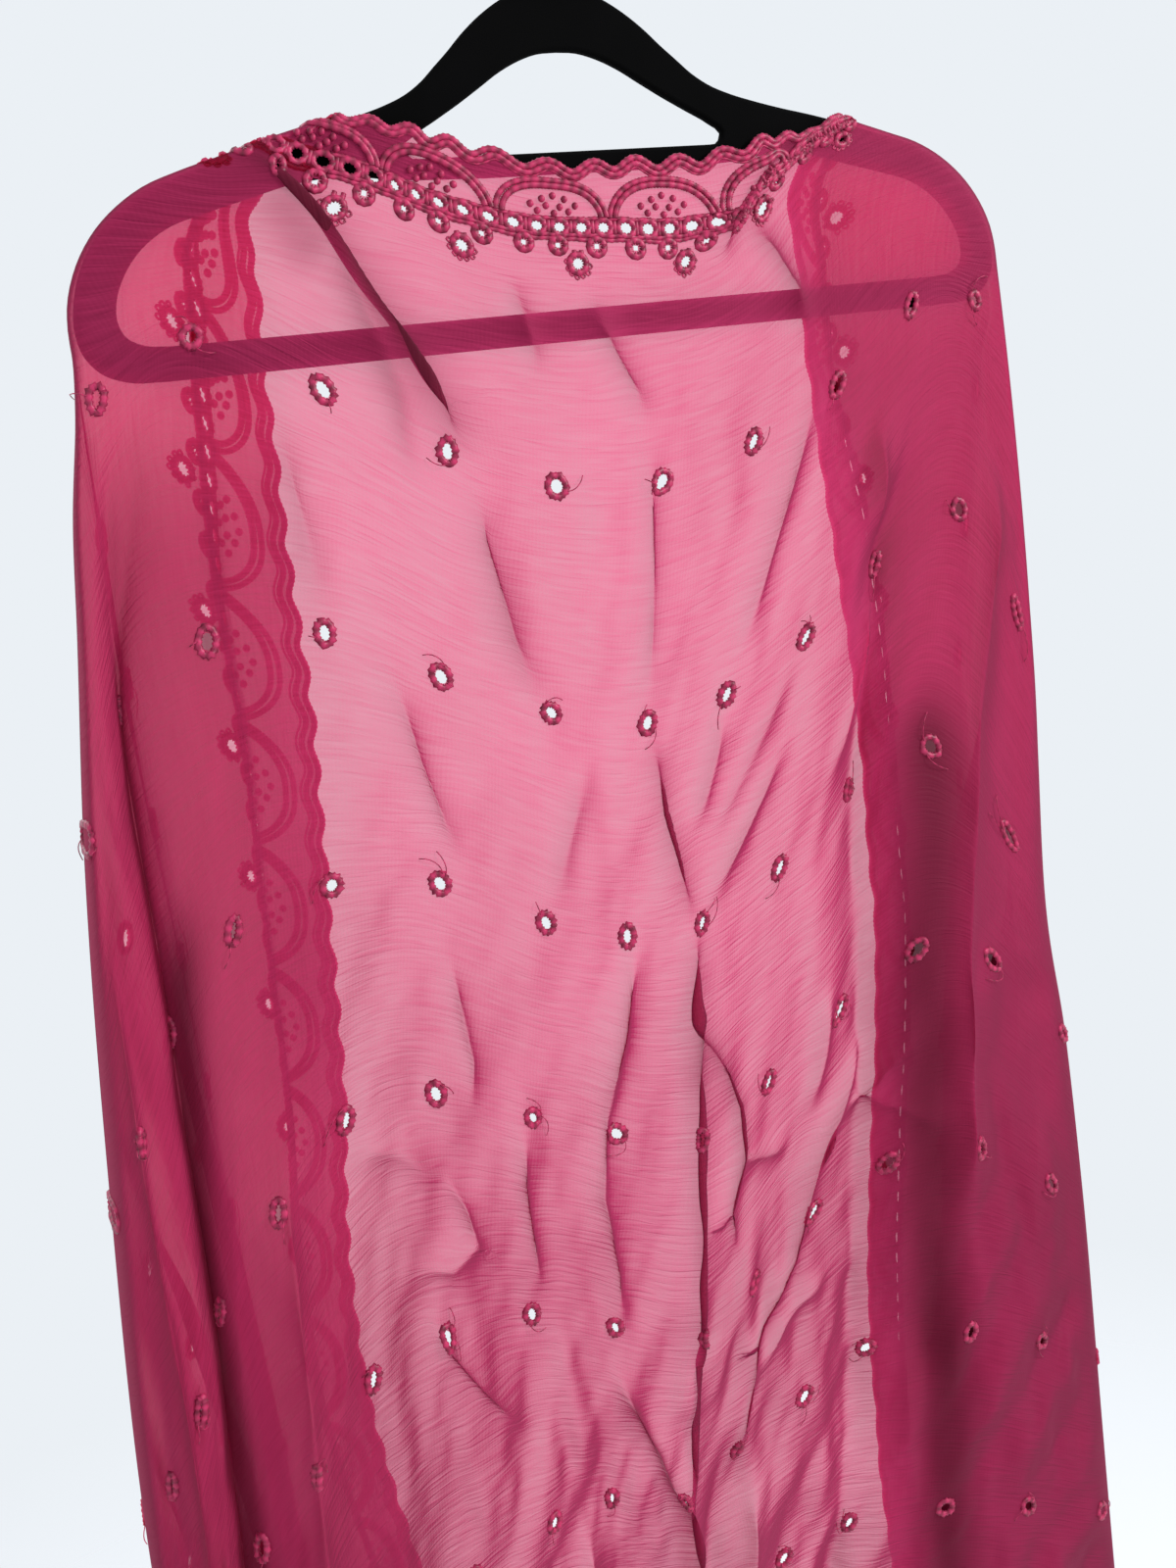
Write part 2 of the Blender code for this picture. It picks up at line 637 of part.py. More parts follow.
def moved_in(outline, distance):
    """Return the outline moved to the left of its direction of travel by distance."""
    before = outline - np.roll(outline, 1, axis=0)
    after = np.roll(outline, -1, axis=0) - outline
    before /= np.linalg.norm(before, axis=1, keepdims=True)
    after /= np.linalg.norm(after, axis=1, keepdims=True)
    side = np.stack([-(before + after)[:, 1], (before + after)[:, 0]], axis=1)
    side /= np.linalg.norm(side, axis=1, keepdims=True)
    cosine = np.clip(np.sum(side * np.stack([-after[:, 1], after[:, 0]], axis=1), axis=1), 0.5, 1.0)
    return outline + side * (distance / cosine)[:, None]


def hanger_frame(material):
    """Build the flat flocked body: neck arch, crossbar, arms, rounded ends and bottom bar in one plate."""
    rims = [mirrored(OUTER)[::-1], mirrored(LOOP), mirrored(NECK_HOLE)]
    points, faces, caps = [], [], ([], [])
    for rim in rims:
        inset = moved_in(rim, HANGER_BEVEL)
        start, count = len(points), len(rim)
        flat = HANGER_HALF - HANGER_BEVEL
        for outline, y in ((inset, -HANGER_HALF), (rim, -flat), (rim, flat), (inset, HANGER_HALF)):
            points.extend((x, y, z) for x, z in outline)
        for level in range(3):
            for i in range(count):
                a = start + level * count + i
                b = start + level * count + (i + 1) % count
                faces.append((a, a + count, b + count, b))
        caps[0].append([start + i for i in range(count)])
        caps[1].append([start + 3 * count + i for i in range(count)])
    for numbers, front in ((caps[0], True), (caps[1], False)):
        corners = [i for ring in numbers for i in ring]
        rings = [[(points[i][0], points[i][2], 0.0) for i in ring] for ring in numbers]
        for tri in tessellate_polygon(rings):
            a, b, c = (corners[k] for k in tri)
            pa, pb, pc = (np.array(points[k]) for k in (a, b, c))
            towards = np.cross(pb - pa, pc - pa)[1]
            keep = towards < 0 if front else towards > 0
            faces.append((a, b, c) if keep else (a, c, b))
    return add_object("hanger_frame", points, faces, material)


def hook_path():
    """Return the middle line of the hook's wire: shank, bend and open loop."""
    centre_z = HOOK_SEAT - HOOK_RADIUS + WIRE_RADIUS
    path = list(HOOK_SHANK)
    for k in range(HOOK_STEPS + 1):
        angle = math.radians(HOOK_FIRST + HOOK_SWEEP * k / HOOK_STEPS)
        path.append((HOOK_RADIUS * math.cos(angle), centre_z + HOOK_RADIUS * math.sin(angle)))
    return path


def hanger_hook(material):
    """Build the wire hook as one swept tube with closed ends."""
    sides = WIRE_SIDES
    path = np.array(hook_path())
    along = np.gradient(path, axis=0)
    along /= np.linalg.norm(along, axis=1, keepdims=True)
    points, faces = [], []
    for (x, z), (dx, dz) in zip(path, along):
        for k in range(sides):
            angle = 2.0 * math.pi * k / sides
            out = WIRE_RADIUS * math.cos(angle)
            points.append((x - dz * out, WIRE_RADIUS * math.sin(angle), z + dx * out))
    for ring in range(len(path) - 1):
        for k in range(sides):
            a = ring * sides + k
            b = ring * sides + (k + 1) % sides
            faces.append((a, a + sides, b + sides, b))
    faces.append(tuple(range(sides)))
    faces.append(tuple(reversed(range((len(path) - 1) * sides, len(path) * sides))))
    return add_object("hanger_hook", points, faces, material)


# ---------------------------------------------------------------- finishes
def finish(name, colour, roughness, metallic=0.0):
    """Return a named Principled material."""
    material = bpy.data.materials.new(name)
    material.use_nodes = True
    shader = material.node_tree.nodes["Principled BSDF"]
    shader.inputs["Base Color"].default_value = (*colour, 1.0)
    shader.inputs["Roughness"].default_value = roughness
    shader.inputs["Metallic"].default_value = metallic
    material.diffuse_color = (*colour, 1.0)
    return material


def main():
    """Clear the scene and build every piece."""
    for item in list(bpy.data.objects):
        bpy.data.objects.remove(item, do_unlink=True)
    front_drape(finish("front_chiffon", (0.62, 0.07, 0.19), 0.75))
    hanging_end("left_end", -1, finish("left_end_chiffon", (0.50, 0.04, 0.14), 0.75))
    hanging_end("right_end", 1, finish("right_end_chiffon", (0.50, 0.04, 0.14), 0.75))
    hanger_frame(finish("black_flock", (0.008, 0.008, 0.009), 0.95))
    hanger_hook(finish("hook_steel", (0.70, 0.70, 0.72), 0.22, 1.0))


main()
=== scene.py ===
"""Dresses a crinkle-chiffon dupatta stole that hangs over a flocked hanger.

The stole is one long panel. Its middle hangs in front of the hanger and both ends go over the arms
and hang behind. Everything on it is placed in the flat panel's own millimetres: s runs along the
length, 0 at the middle column of eyelets, and t runs down from the top edge. Class Drape turns a
place on the flat panel into a place in space, so cloth, cord, border and eyelets share one lay.
"""

import logging
import math
from dataclasses import dataclass, field
from enum import Enum
from typing import NamedTuple

import bpy
import numpy as np
from mathutils import Euler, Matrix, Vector
from mathutils.geometry import tessellate_polygon


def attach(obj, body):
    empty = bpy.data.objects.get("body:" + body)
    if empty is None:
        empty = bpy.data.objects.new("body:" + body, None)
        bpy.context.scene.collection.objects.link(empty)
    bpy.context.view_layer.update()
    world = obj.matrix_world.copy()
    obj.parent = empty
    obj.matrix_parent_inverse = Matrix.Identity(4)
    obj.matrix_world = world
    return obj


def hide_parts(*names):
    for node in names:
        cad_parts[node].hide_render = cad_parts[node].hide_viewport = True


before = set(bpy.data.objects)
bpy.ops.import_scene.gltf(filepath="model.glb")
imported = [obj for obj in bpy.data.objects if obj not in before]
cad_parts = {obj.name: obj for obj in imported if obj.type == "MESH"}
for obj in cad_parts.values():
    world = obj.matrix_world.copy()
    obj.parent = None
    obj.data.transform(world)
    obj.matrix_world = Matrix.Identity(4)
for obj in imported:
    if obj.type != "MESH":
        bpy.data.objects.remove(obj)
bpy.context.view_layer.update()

LOG = logging.getLogger("dupatta")
FLAT_MAP = "flat_cloth"  # UV map in metres of the flat panel, or of a strand's own length
GATHERED_SHADE = "gathered_shade"  # painted shade: 0 where the cloth is left as one lit layer, 1 where it is painted dark and dense as if it hung many layers deep
BODY = "root"
HOOK_SEAT = 212.0  # mm from the hanger's bottom edge up to the hook's underside
FULL_TURN = 2.0 * math.pi
MILLIMETRE_BANDS = 1000.0 * FULL_TURN / 20.0  # scale of a wave texture whose bands lie 1 mm apart
Array = np.ndarray
Table = tuple[tuple[float, ...], ...]
Faces = list[tuple[int, ...]]


class Stretch(Enum):
    """The three stretches of the panel that show, with the CAD node each one stands for."""

    FRONT = "front_drape"
    LEFT_END = "left_end"
    RIGHT_END = "right_end"

    @property
    def side(self) -> int:
        """Which side the stretch hangs on: -1 left, 1 right, 0 in front."""
        return {"front_drape": 0, "left_end": -1, "right_end": 1}[self.value]

    @property
    def slot(self) -> str:
        """The material slot of the record that the stretch takes."""
        return "front_chiffon" if self is Stretch.FRONT else f"{self.value}_chiffon"


# ---------------------------------------------------------------- curves
def ease(value: Array | float) -> Array:
    """Smooths a ramp: values are clamped to 0..1 and eased in and out."""
    value = np.clip(value, 0.0, 1.0)
    return value * value * (3.0 - 2.0 * value)


def bell(off: Array, half: Array | float) -> Array:
    """Gives a bump that is 1 in its middle and has sunk to 0.37 at half."""
    return np.exp(-((off / half) ** 2))


def slopes(knots: Array, values: Array) -> Array:
    """Finds the tangents of a cubic through values.

    Args:
        knots: rising positions.
        values: one number or one row of a table for each knot.

    Returns:
        The tangent at each knot.
    """
    step = np.diff(knots).reshape((-1,) + (1,) * (values.ndim - 1))
    chord = np.diff(values, axis=0) / step
    inner = (chord[:-1] * step[1:] + chord[1:] * step[:-1]) / (step[:-1] + step[1:])
    return np.concatenate([chord[:1], inner, chord[-1:]])


def hermite(u: Array, step: Array, ends: tuple[Array, Array], tangents: tuple[Array, Array]) -> Array:
    """Evaluates one span of a cubic.

    Args:
        u: place in the span, 0..1.
        step: length of the span.
        ends: values at its start and end.
        tangents: slopes at its start and end.

    Returns:
        The curve's values.
    """
    held = (1 + 2 * u) * (1 - u) ** 2 * ends[0] + u * u * (3 - 2 * u) * ends[1]
    return held + step * u * (1 - u) ** 2 * tangents[0] + step * u * u * (u - 1) * tangents[1]


def through(knots: Array, values: Array, where: Array | float) -> Array:
    """Runs a smooth curve through values, straight beyond both ends.

    Args:
        knots: rising positions.
        values: one number for each knot.
        where: positions to read the curve at.

    Returns:
        The curve's values.
    """
    knots, values, where = (np.asarray(numbers, float) for numbers in (knots, values, where))
    slope = slopes(knots, values)
    span = np.clip(np.searchsorted(knots, where, side="right") - 1, 0, len(knots) - 2)
    step = knots[span + 1] - knots[span]
    u = (where - knots[span]) / step
    over = np.where(u < 0.0, u, np.where(u > 1.0, u - 1.0, 0.0)) * step
    u = np.clip(u, 0.0, 1.0)
    curve = hermite(u, step, (values[span], values[span + 1]), (slope[span], slope[span + 1]))
    return curve + over * np.where(u >= 1.0, slope[span + 1], slope[span])


@dataclass(frozen=True)
class Unevenness:
    """Smooth, repeatable unevenness over the flat panel."""

    seed: int
    along: float  # mm between lumps along the length
    down: float  # mm between lumps across the width

    def at(self, s: Array, t: Array) -> Array:
        """Reads the unevenness.

        Args:
            s: places along the length, mm.
            t: places across the width, mm.

        Returns:
            Values from -1 to 1.
        """
        columns, rows = int(2000 / self.along) + 3, int(960 / self.down) + 3
        lattice = np.random.RandomState(self.seed).uniform(-1.0, 1.0, (columns, rows))
        x = np.clip((np.asarray(s, float) + 1000.0) / self.along, 0.0, columns - 1.001)
        y = np.clip((np.asarray(t, float) + 50.0) / self.down, 0.0, rows - 1.001)
        i, j = x.astype(int), y.astype(int)
        u, v = ease(x - i), ease(y - j)
        near = lattice[i, j] * (1 - v) + lattice[i, j + 1] * v
        far = lattice[i + 1, j] * (1 - v) + lattice[i + 1, j + 1] * v
        return near * (1 - u) + far * u


# ---------------------------------------------------------------- the lay of the cloth
# The front is read on ten lines across it, each at nine equal stations from fold to fold, in mm.
LINE_T = (0, 50, 136, 233, 330, 427, 524, 621, 718, 855)
FOLD_S = {
    -1: (-103, -150, -228, -272, -326, -366, -396, -420, -440, -460),
    1: (184, 192, 300, 347, 355, 385, 415, 430, 445, 462),
}
FRONT_X = (
    (-103, -75, -47, -8, 26, 62, 97, 119, 138),
    (-155, -113, -78, -37, 5, 47, 83, 118, 152),
    (-227, -178, -117, -59, 5, 67, 127, 182, 224),
    (-257, -221, -154, -87, -18, 43, 111, 182, 226),
    (-277, -248, -204, -130, -57, 3, 74, 145, 223),
    (-291, -259, -225, -159, -82, -8, 63, 142, 230),
    (-296, -270, -236, -176, -97, -22, 50, 138, 234),
    (-299, -277, -245, -193, -108, -43, 35, 130, 235),
    (-301, -283, -253, -201, -123, -57, 19, 118, 236),
    (-302, -292, -261, -215, -134, -65, 3, 102, 238),
)
FRONT_Z = (
    (98, 92, 83, 74, 74, 74, 81, 82, 89),
    (85, 69, 51, 37, 31, 29, 43, 69, 84),
    (-10, 16, -17, -53, -67, -56, -30, 7, -12),
    (-178, -114, -107, -143, -173, -167, -135, -100, -190),
    (-338, -276, -220, -220, -262, -276, -249, -214, -318),
    (-485, -421, -353, -311, -349, -381, -351, -314, -400),
    (-622, -546, -479, -427, -445, -484, -444, -424, -505),
    (-745, -671, -608, -565, -547, -565, -541, -531, -600),
    (-850, -772, -692, -620, -641, -662, -631, -636, -700),
    (-985, -928, -868, -803, -775, -790, -768, -772, -835),
)
FREE_LINE = 3  # from this line down the folds fall free of the arms

# Where the cloth turns over each arm: t, x, z.
RIDGES = {
    -1: (
        (0, -102.7, 98.2), (25, -128.5, 92), (50, -154.7, 84.5), (61, -171.4, 79.8), (71, -185.6, 74.8),
        (81, -199, 66.5), (90, -208.8, 57.4), (99, -216.8, 46), (107, -221.8, 34.4), (114, -223.7, 24.6),
        (122, -224.2, 12.8), (136, -227.5, -10), (160, -236, -50), (185, -243, -94),
    ),
    1: (
        (0, 137.7, 89.9), (25, 145, 87.7), (50, 153.1, 85.3), (59, 167.1, 81.1), (68.7, 181.7, 76.5),
        (79, 196, 68.8), (88.8, 207.8, 58.7), (97.4, 215.9, 47.9), (106, 221.4, 35.6), (113, 223.3, 25.2),
        (120, 223.6, 14.6), (136, 224.5, -12),
    ),
}


class Roll(NamedTuple):
    """A lengthwise roll beside the inner edge of a hanging end, leaning over outwards."""

    middle: float  # t, mm
    half: float
    depth: float
    lean: float  # how far it leans for each mm of depth

    def at(self, t: Array) -> Array:
        """Gives how deep the roll is at t."""
        off = np.clip((t - self.middle) / self.half, -1.0, 1.0)
        return self.depth * 0.5 * (1.0 + np.cos(math.pi * off))


class BunchedShade(NamedTuple):
    """How far a hanging end is painted dark and dense, 0 to 1: painted shade."""

    upper: float
    lower: float
    above: float  # mm above the arm where it starts


class EndShape(NamedTuple):
    """How one end falls behind its arm, mm."""

    inner: tuple[float, float]  # x, z of the lower edge's corner nearer the middle
    outer: tuple[float, float]
    roll: Roll
    pleat_lean: float  # how far the pleats lean inwards for each mm of depth
    shade_bunching: BunchedShade
    inner_edge: Table  # distance below the arm, x


END_SHAPES = {
    -1: EndShape(
        (-152, -725), (-290, -1235), Roll(22, 26, 14, 0.5), 0.28, BunchedShade(0.66, 0.45, 20.0),
        (
            (0, -103), (24, -136), (68, -145), (143, -150), (243, -152), (331, -160), (407, -167),
            (473, -177), (552, -182), (645, -174), (740, -160), (807, -152),
        ),
    ),
    1: EndShape(
        (104, -725), (232, -1205), Roll(34, 34, 19, 1.1), 0.2, BunchedShade(0.84, 0.88, 60.0),
        (
            (0, 138), (26, 116), (66, 114), (113, 114), (144, 116), (222, 124), (336, 126), (385, 125),
            (430, 121), (480, 114), (534, 105), (588, 98), (644, 94), (720, 92), (807, 94),
        ),
    ),
}


class Billow(NamedTuple):
    """A swelling that runs down the front, mm."""

    x: float
    half: float
    depth: float


BILLOWS = (Billow(-210.0, 75.0, 28.0), Billow(150.0, 60.0, 16.0))

# The crumple of worn chiffon: its lumps, how far they slant, how high they stand in mm.
CRUMPLE = (
    (Unevenness(11, 32.0, 96.0), 0.0, 1.7),
    (Unevenness(12, 14.0, 40.0), -0.2, 0.9),
    (Unevenness(13, 22.0, 66.0), 0.5, 1.2),
    (Unevenness(14, 8.0, 17.0), 0.3, 0.35),
)


@dataclass(frozen=True)
class Crease:
    """A crease of the front, drawn on the flat panel."""

    line: Table  # s, t of its points
    half_width: float
    rise: float = 0.0  # how far it stands out; negative is a trough
    tuck: float = 0.0  # above 1 the cloth doubles over along it
    closed: float = 0.2  # painted shade: how far the cloth along it is painted dark and dense, 0 to 1, as if drawn together

    def beside(self, s: Array, t: Array) -> tuple[Array, Array, Array, Array]:
        """Measures where places lie beside the crease.

        Args:
            s: places along the length, mm.
            t: places across the width, mm.

        Returns:
            The signed distance off the line, a taper that is 0 at both ends of the line, and the
            direction across the line as its s and t parts.
        """
        nearest = np.full(s.shape, np.inf)
        off, along, across_s, across_t = (np.zeros(s.shape) for _ in range(4))
        run = 0.0
        for (s0, t0), (s1, t1) in zip(self.line, self.line[1:]):
            length = math.hypot(s1 - s0, t1 - t0)
            ds, dt = (s1 - s0) / length, (t1 - t0) / length
            reach = np.clip((s - s0) * ds + (t - t0) * dt, 0.0, length)
            rest_s, rest_t = s - s0 - reach * ds, t - t0 - reach * dt
            gap = np.hypot(rest_s, rest_t)
            closer = gap < nearest
            nearest = np.where(closer, gap, nearest)
            off = np.where(closer, np.copysign(gap, rest_s * dt - rest_t * ds), off)
            along = np.where(closer, run + reach, along)
            across_s, across_t = np.where(closer, dt, across_s), np.where(closer, -ds, across_t)
            run += length
        end = min(0.35 * run, 40.0)
        return off, ease(along / end) * ease((run - along) / end), across_s, across_t


# the fifth number of a row, where given, sets the painted shade along the crease
CREASES = tuple(
    Crease(*row)
    for row in (
        (((-152, 30), (-124, 54), (-98, 76), (-74, 97), (-54, 117), (-40, 140)), 18, 5.0, 1.5, 0.98),
        (((-39, 138), (-35, 165), (-20, 205), (-2, 234)), 10, 4.5, 1.0, 0.35),
        (((-128, 66), (-102, 94), (-80, 126), (-64, 160)), 8, 3.0, 0.9, 0.5),
        (((44, 112), (49, 165), (54, 233)), 8, 3.0, 0.94),
        (((54, 233), (72, 275), (94, 312), (106, 332)), 9, 3.9, 1.5, 0.6),
        (
            (
                (105, 322), (102, 380), (106, 427), (112, 520), (122, 621), (126, 720), (130, 850),
            ),
            11, 6.5, 1.5, 0.6,
        ),
        (((-80, 232), (-65, 273), (-53, 300), (-40, 322)), 9, 4.5, 0.86),
        (((150, 120), (132, 168), (112, 226)), 9, 4.5, 0.97),
        (((108, 238), (104, 262), (97, 290)), 8, 3.8, 0.79),
        (((216, 236), (207, 276), (190, 318)), 9, 4.5, 0.9),
        (((160, 268), (132, 300), (110, 326)), 9, 5.2, 0.86),
        (((160, 236), (136, 262), (106, 300)), 9, 3.0, 0.65),
        (((-24, 56), (-16, 74), (-8, 96)), 7, 3.0, 0.79),
        (((12, 60), (26, 84), (48, 114)), 8, 3.8, 0.86, 0.3),
        (((126, 8), (112, 26), (96, 42), (84, 60)), 15, 5.2, 1.8, 0.5),
        (((104, 46), (121, 69), (135, 90), (145, 112)), 7, 4.0, 1.1, 0.5),
        (
            (
                (-206, 150), (-216, 233), (-222, 330), (-230, 427), (-242, 524), (-256, 640), (-270, 850),
            ),
            17, -13.5, 0.9,
        ),
        (((212, 190), (220, 330), (236, 427), (248, 524), (258, 640), (264, 850)), 22, -9.0, 0.5),
        (((64, 330), (52, 366), (36, 418)), 8, 4.5, 0.86),
        (((92, 352), (116, 384), (136, 424), (141, 447), (132, 470), (146, 505)), 9, 6.0, 1.4, 0.6),
        (((136, 447), (163, 462), (190, 474)), 7, 4.0, 0.9, 0.35),
        (((60, 340), (54, 381), (44, 420), (43, 459), (55, 495), (60, 535)), 9, 5.0, 1.0, 0.3),
        (((-50, 356), (-44, 378), (-35, 408), (-34, 440)), 7, 4.5, 1.0, 0.3),
        (((-5, 425), (-5, 459), (1, 489), (8, 520)), 8, 5.2, 1.1, 0.35),
        (((-60, 450), (-40, 474), (-34, 490), (-50, 500), (-86, 498)), 8, 5.0, 0.95),
        (((-112, 440), (-74, 452), (-50, 466)), 9, 4.0, 0.7),
        (((49, 540), (64, 562), (88, 591), (110, 628), (140, 680)), 10, 7.0, 1.3, 0.6),
        (
            (
                (250, 452), (216, 478), (208, 510), (200, 540), (168, 560), (168, 590), (160, 640),
            ),
            10, 7.0, 1.1, 0.4,
        ),
        (((290, 462), (256, 477), (214, 488), (187, 502)), 9, 5.0, 0.9),
        (((229, 474), (268, 495), (301, 522)), 8, 4.0, 0.7),
        (((205, 405), (205, 438), (200, 468)), 8, 4.5, 0.9),
        (((-72, 508), (-55, 532), (-26, 560), (-6, 580)), 10, 5.0, 0.9),
        (((133, 510), (112, 543), (118, 610)), 8, -4.0, 0.8),
        (((238, 560), (196, 570), (170, 592)), 8, 4.0, 0.8),
        (((-96, 590), (-100, 720), (-104, 850)), 15, 9.0, 0.86),
        (((30, 620), (32, 740), (38, 850)), 14, 7.5, 0.86),
        (((176, 640), (180, 740), (184, 850)), 15, 9.0, 0.86),
        (((-150, 400), (-160, 520), (-172, 640), (-172, 850)), 18, 9.0, 0.7),
        (((300, 190), (296, 300), (302, 430), (318, 560)), 16, 7.5, 0.79),
        (((-268, 260), (-288, 400), (-312, 560), (-330, 760)), 16, 7.5, 0.79),
        (((190, 160), (204, 190), (214, 226)), 9, 4.5, 0.86),
        (((-130, 150), (-118, 190), (-110, 226)), 10, 3.8, 0.65),
        (((20, 250), (8, 300), (2, 326)), 8, 3.0, 0.65),
    )
)

# Broad bands of painted shade on the front, without a crease of their own; they darken its colour and close
# its cover but do not move it.
SHADE_BANDS = tuple(
    Crease(line, half_width, closed=closed)
    for line, half_width, closed in (
        (((-140, 58), (-126, 80), (-108, 100)), 10, 0.5),
        (((196, 6), (160, 8), (128, 14), (96, 24)), 13, 0.5),
        (
            (
                (-198, 285), (-203, 321), (-211, 366), (-226, 411), (-225, 447), (-222, 489), (-230, 560),
                (-250, 850),
            ),
            19, 0.9,
        ),
        (((262, 290), (274, 366), (277, 444), (292, 537), (313, 642), (345, 850)), 24, 0.9),
    )
)


@dataclass(frozen=True)
class Drape:
    """The lay of the panel over the hanger: flat millimetres in, millimetres in space out."""

    half_length: float = 910.0
    width: float = 855.0
    standoff: float = 5.2  # how far in front of and behind the arms the cloth hangs
    least_standoff: float = 1.2  # how near the hanger a trough may come
    row_first: float = 136.0
    row_pitch: float = 97.0
    scallop_pitch: float = 21.6
    scallop_rise: float = 2.6
    pleat_depth: float = 40.0
    stations: int = 8

    def fold_s(self, side: int, t: Array | float) -> Array:
        """Gives s of the fold line on one side, -1 left or 1 right, at t."""
        return through(LINE_T, FOLD_S[side], t)

    def span(self, stretch: Stretch, t: Array | float) -> tuple[Array, Array]:
        """Gives s at both ends of a stretch.

        Args:
            stretch: the stretch asked about.
            t: place or places across the width, mm.

        Returns:
            The lower and the higher s, mm.
        """
        left, right, end = self.fold_s(-1, t), self.fold_s(1, t), np.full(np.shape(t), self.half_length)
        ends = {Stretch.FRONT: (left, right), Stretch.LEFT_END: (-end, left), Stretch.RIGHT_END: (right, end)}
        return ends[stretch]

    def run(self, stretch: Stretch, t: float, step: float) -> Array:
        """Gives evenly spaced s along a stretch at t, about a step apart."""
        low, high = (float(end) for end in self.span(stretch, t))
        return np.linspace(low, high, int((high - low) / step))

    def fold_xz(self, side: int, t: Array) -> tuple[Array, Array]:
        """Finds the fold line in space: along the arm, then falling free.

        Args:
            side: -1 left, 1 right.
            t: places across the width, mm.

        Returns:
            Its x and z at each.
        """
        ridge = np.array(RIDGES[side], float)
        station = 0 if side < 0 else self.stations
        knots = np.concatenate([ridge[:, 0], LINE_T[FREE_LINE:]])
        free_x, free_z = ([line[station] for line in table[FREE_LINE:]] for table in (FRONT_X, FRONT_Z))
        x = through(knots, np.concatenate([ridge[:, 1], free_x]), t)
        z = through(knots, np.concatenate([ridge[:, 2], free_z]), t)
        return x, z

    def table_at(self, table: Table, station: Array, t: Array) -> Array:
        """Reads a table of the front between its stations and lines.

        Args:
            table: one row for each line across the front.
            station: fractional stations.
            t: places across the width, mm.

        Returns:
            The table's smooth value at each place.
        """
        knots = np.array(LINE_T, float)
        across = np.stack([through(np.arange(self.stations + 1), row, station) for row in table], axis=0)
        slope = slopes(knots, across)
        span = np.clip(np.searchsorted(knots, t, side="right") - 1, 0, len(knots) - 2)
        pick = np.arange(len(station))
        step = knots[span + 1] - knots[span]
        u = np.clip((t - knots[span]) / step, 0.0, 1.0)
        ends, tangents = ((rows[span, pick], rows[span + 1, pick]) for rows in (across, slope))
        return hermite(u, step, ends, tangents) + np.minimum(t - knots[0], 0.0) * slope[0, pick]

    def turn_radius(self, t: Array | float) -> Array:
        """Gives how far from the fold line the cloth has turned flat: tight over the arm, soft below."""
        return 5.0 + 19.0 * ease((np.asarray(t, float) - 130.0) / 250.0)

    def turned(self, distance: Array, radius: Array) -> Array:
        """Gives 0..1 along a quarter circle that leaves the fold line."""
        rest = 1.0 - np.clip(distance / radius, 0.0, 1.0)
        return np.sqrt(np.clip(1.0 - rest * rest, 0.0, 1.0))

    def creased(self, s: Array, t: Array, room: Array) -> tuple[Array, Array, Array]:
        """Takes up cloth along the creases.

        Args:
            s: places along the length, mm.
            t: places across the width, mm.
            room: 0 at the fold lines, where nothing may move, to 1 inside.

        Returns:
            The places after the tucks, and how far each stands out.
        """
        out, shift_s, shift_t = (np.zeros(s.shape) for _ in range(3))
        uneven = 1.0 + 0.35 * Unevenness(15, 26.0, 21.0).at(s, t)
        for crease in CREASES:
            line = np.array(crease.line, float)
            middle, reach = line.mean(axis=0), np.ptp(line, axis=0) / 2 + 60.0
            near = np.nonzero((np.abs(s - middle[0]) < reach[0]) & (np.abs(t - middle[1]) < reach[1]))
            if not len(near[0]):
                continue
            off, taper, across_s, across_t = crease.beside(s[near], t[near])
            held = taper * room[near]
            ridge = bell(off, crease.half_width) * held
            lean = np.tanh(2.0 * off / crease.half_width) * bell(off, 2.0 * crease.half_width)
            out[near] += crease.rise * ridge - 2.0 * max(crease.tuck - 1.0, 0.0) * lean * held
            taken = crease.tuck * uneven[near] * off * ridge
            shift_s[near] -= taken * across_s
            shift_t[near] -= taken * across_t
        return s + shift_s, t + shift_t, out

    def crumple(self, s: Array, t: Array) -> Array:
        """Gives the small unevenness of worn chiffon, deeper towards the hem, mm."""
        deeper = 0.8 + 1.7 * ease((t - 360.0) / 330.0)
        return deeper * sum(height * lumps.at(s + slant * t, t) for lumps, slant, height in CRUMPLE)

    def front(self, s: Array, t: Array) -> Array:
        """Places the front stretch.

        Args:
            s: places along the length, mm.
            t: places across the width, mm.

        Returns:
            An N x 3 array, mm.
        """
        left, right = self.span(Stretch.FRONT, t)
        inset = np.minimum(s - left, right - s)
        round_off = self.turned(inset, self.turn_radius(t))
        room = ease(inset / 26.0)
        s, t, out = self.creased(s, t, room)
        left, right = self.span(Stretch.FRONT, t)
        station = np.clip((s - left) / (right - left), 0.0, 1.0) * self.stations
        x, z = self.table_at(FRONT_X, station, t), self.table_at(FRONT_Z, station, t)
        for side, last in ((-1, 0), (1, self.stations)):
            edge = np.full(station.shape, float(last))
            weight = np.clip(1.0 - np.abs(station - last), 0.0, 1.0) ** 2
            fold_x, fold_z = self.fold_xz(side, t)
            x = x + weight * (fold_x - self.table_at(FRONT_X, edge, t))
            z = z + weight * (fold_z - self.table_at(FRONT_Z, edge, t))
        depth = self.standoff + 10.0 * ease(-z / 200.0) * (1.0 - 0.75 * ease((x - 110.0) / 90.0))
        for billow in BILLOWS:
            depth = depth + billow.depth * ease(-z / 450.0) * bell(x - billow.x, billow.half)
        free = 0.15 + 0.85 * ease((-z - 4.0) / 60.0)
        relief = out + self.crumple(s, t) * free * room
        depth = depth + np.maximum(relief, self.standoff - self.least_standoff - depth)
        return np.stack([x, -depth * round_off, z], axis=1)

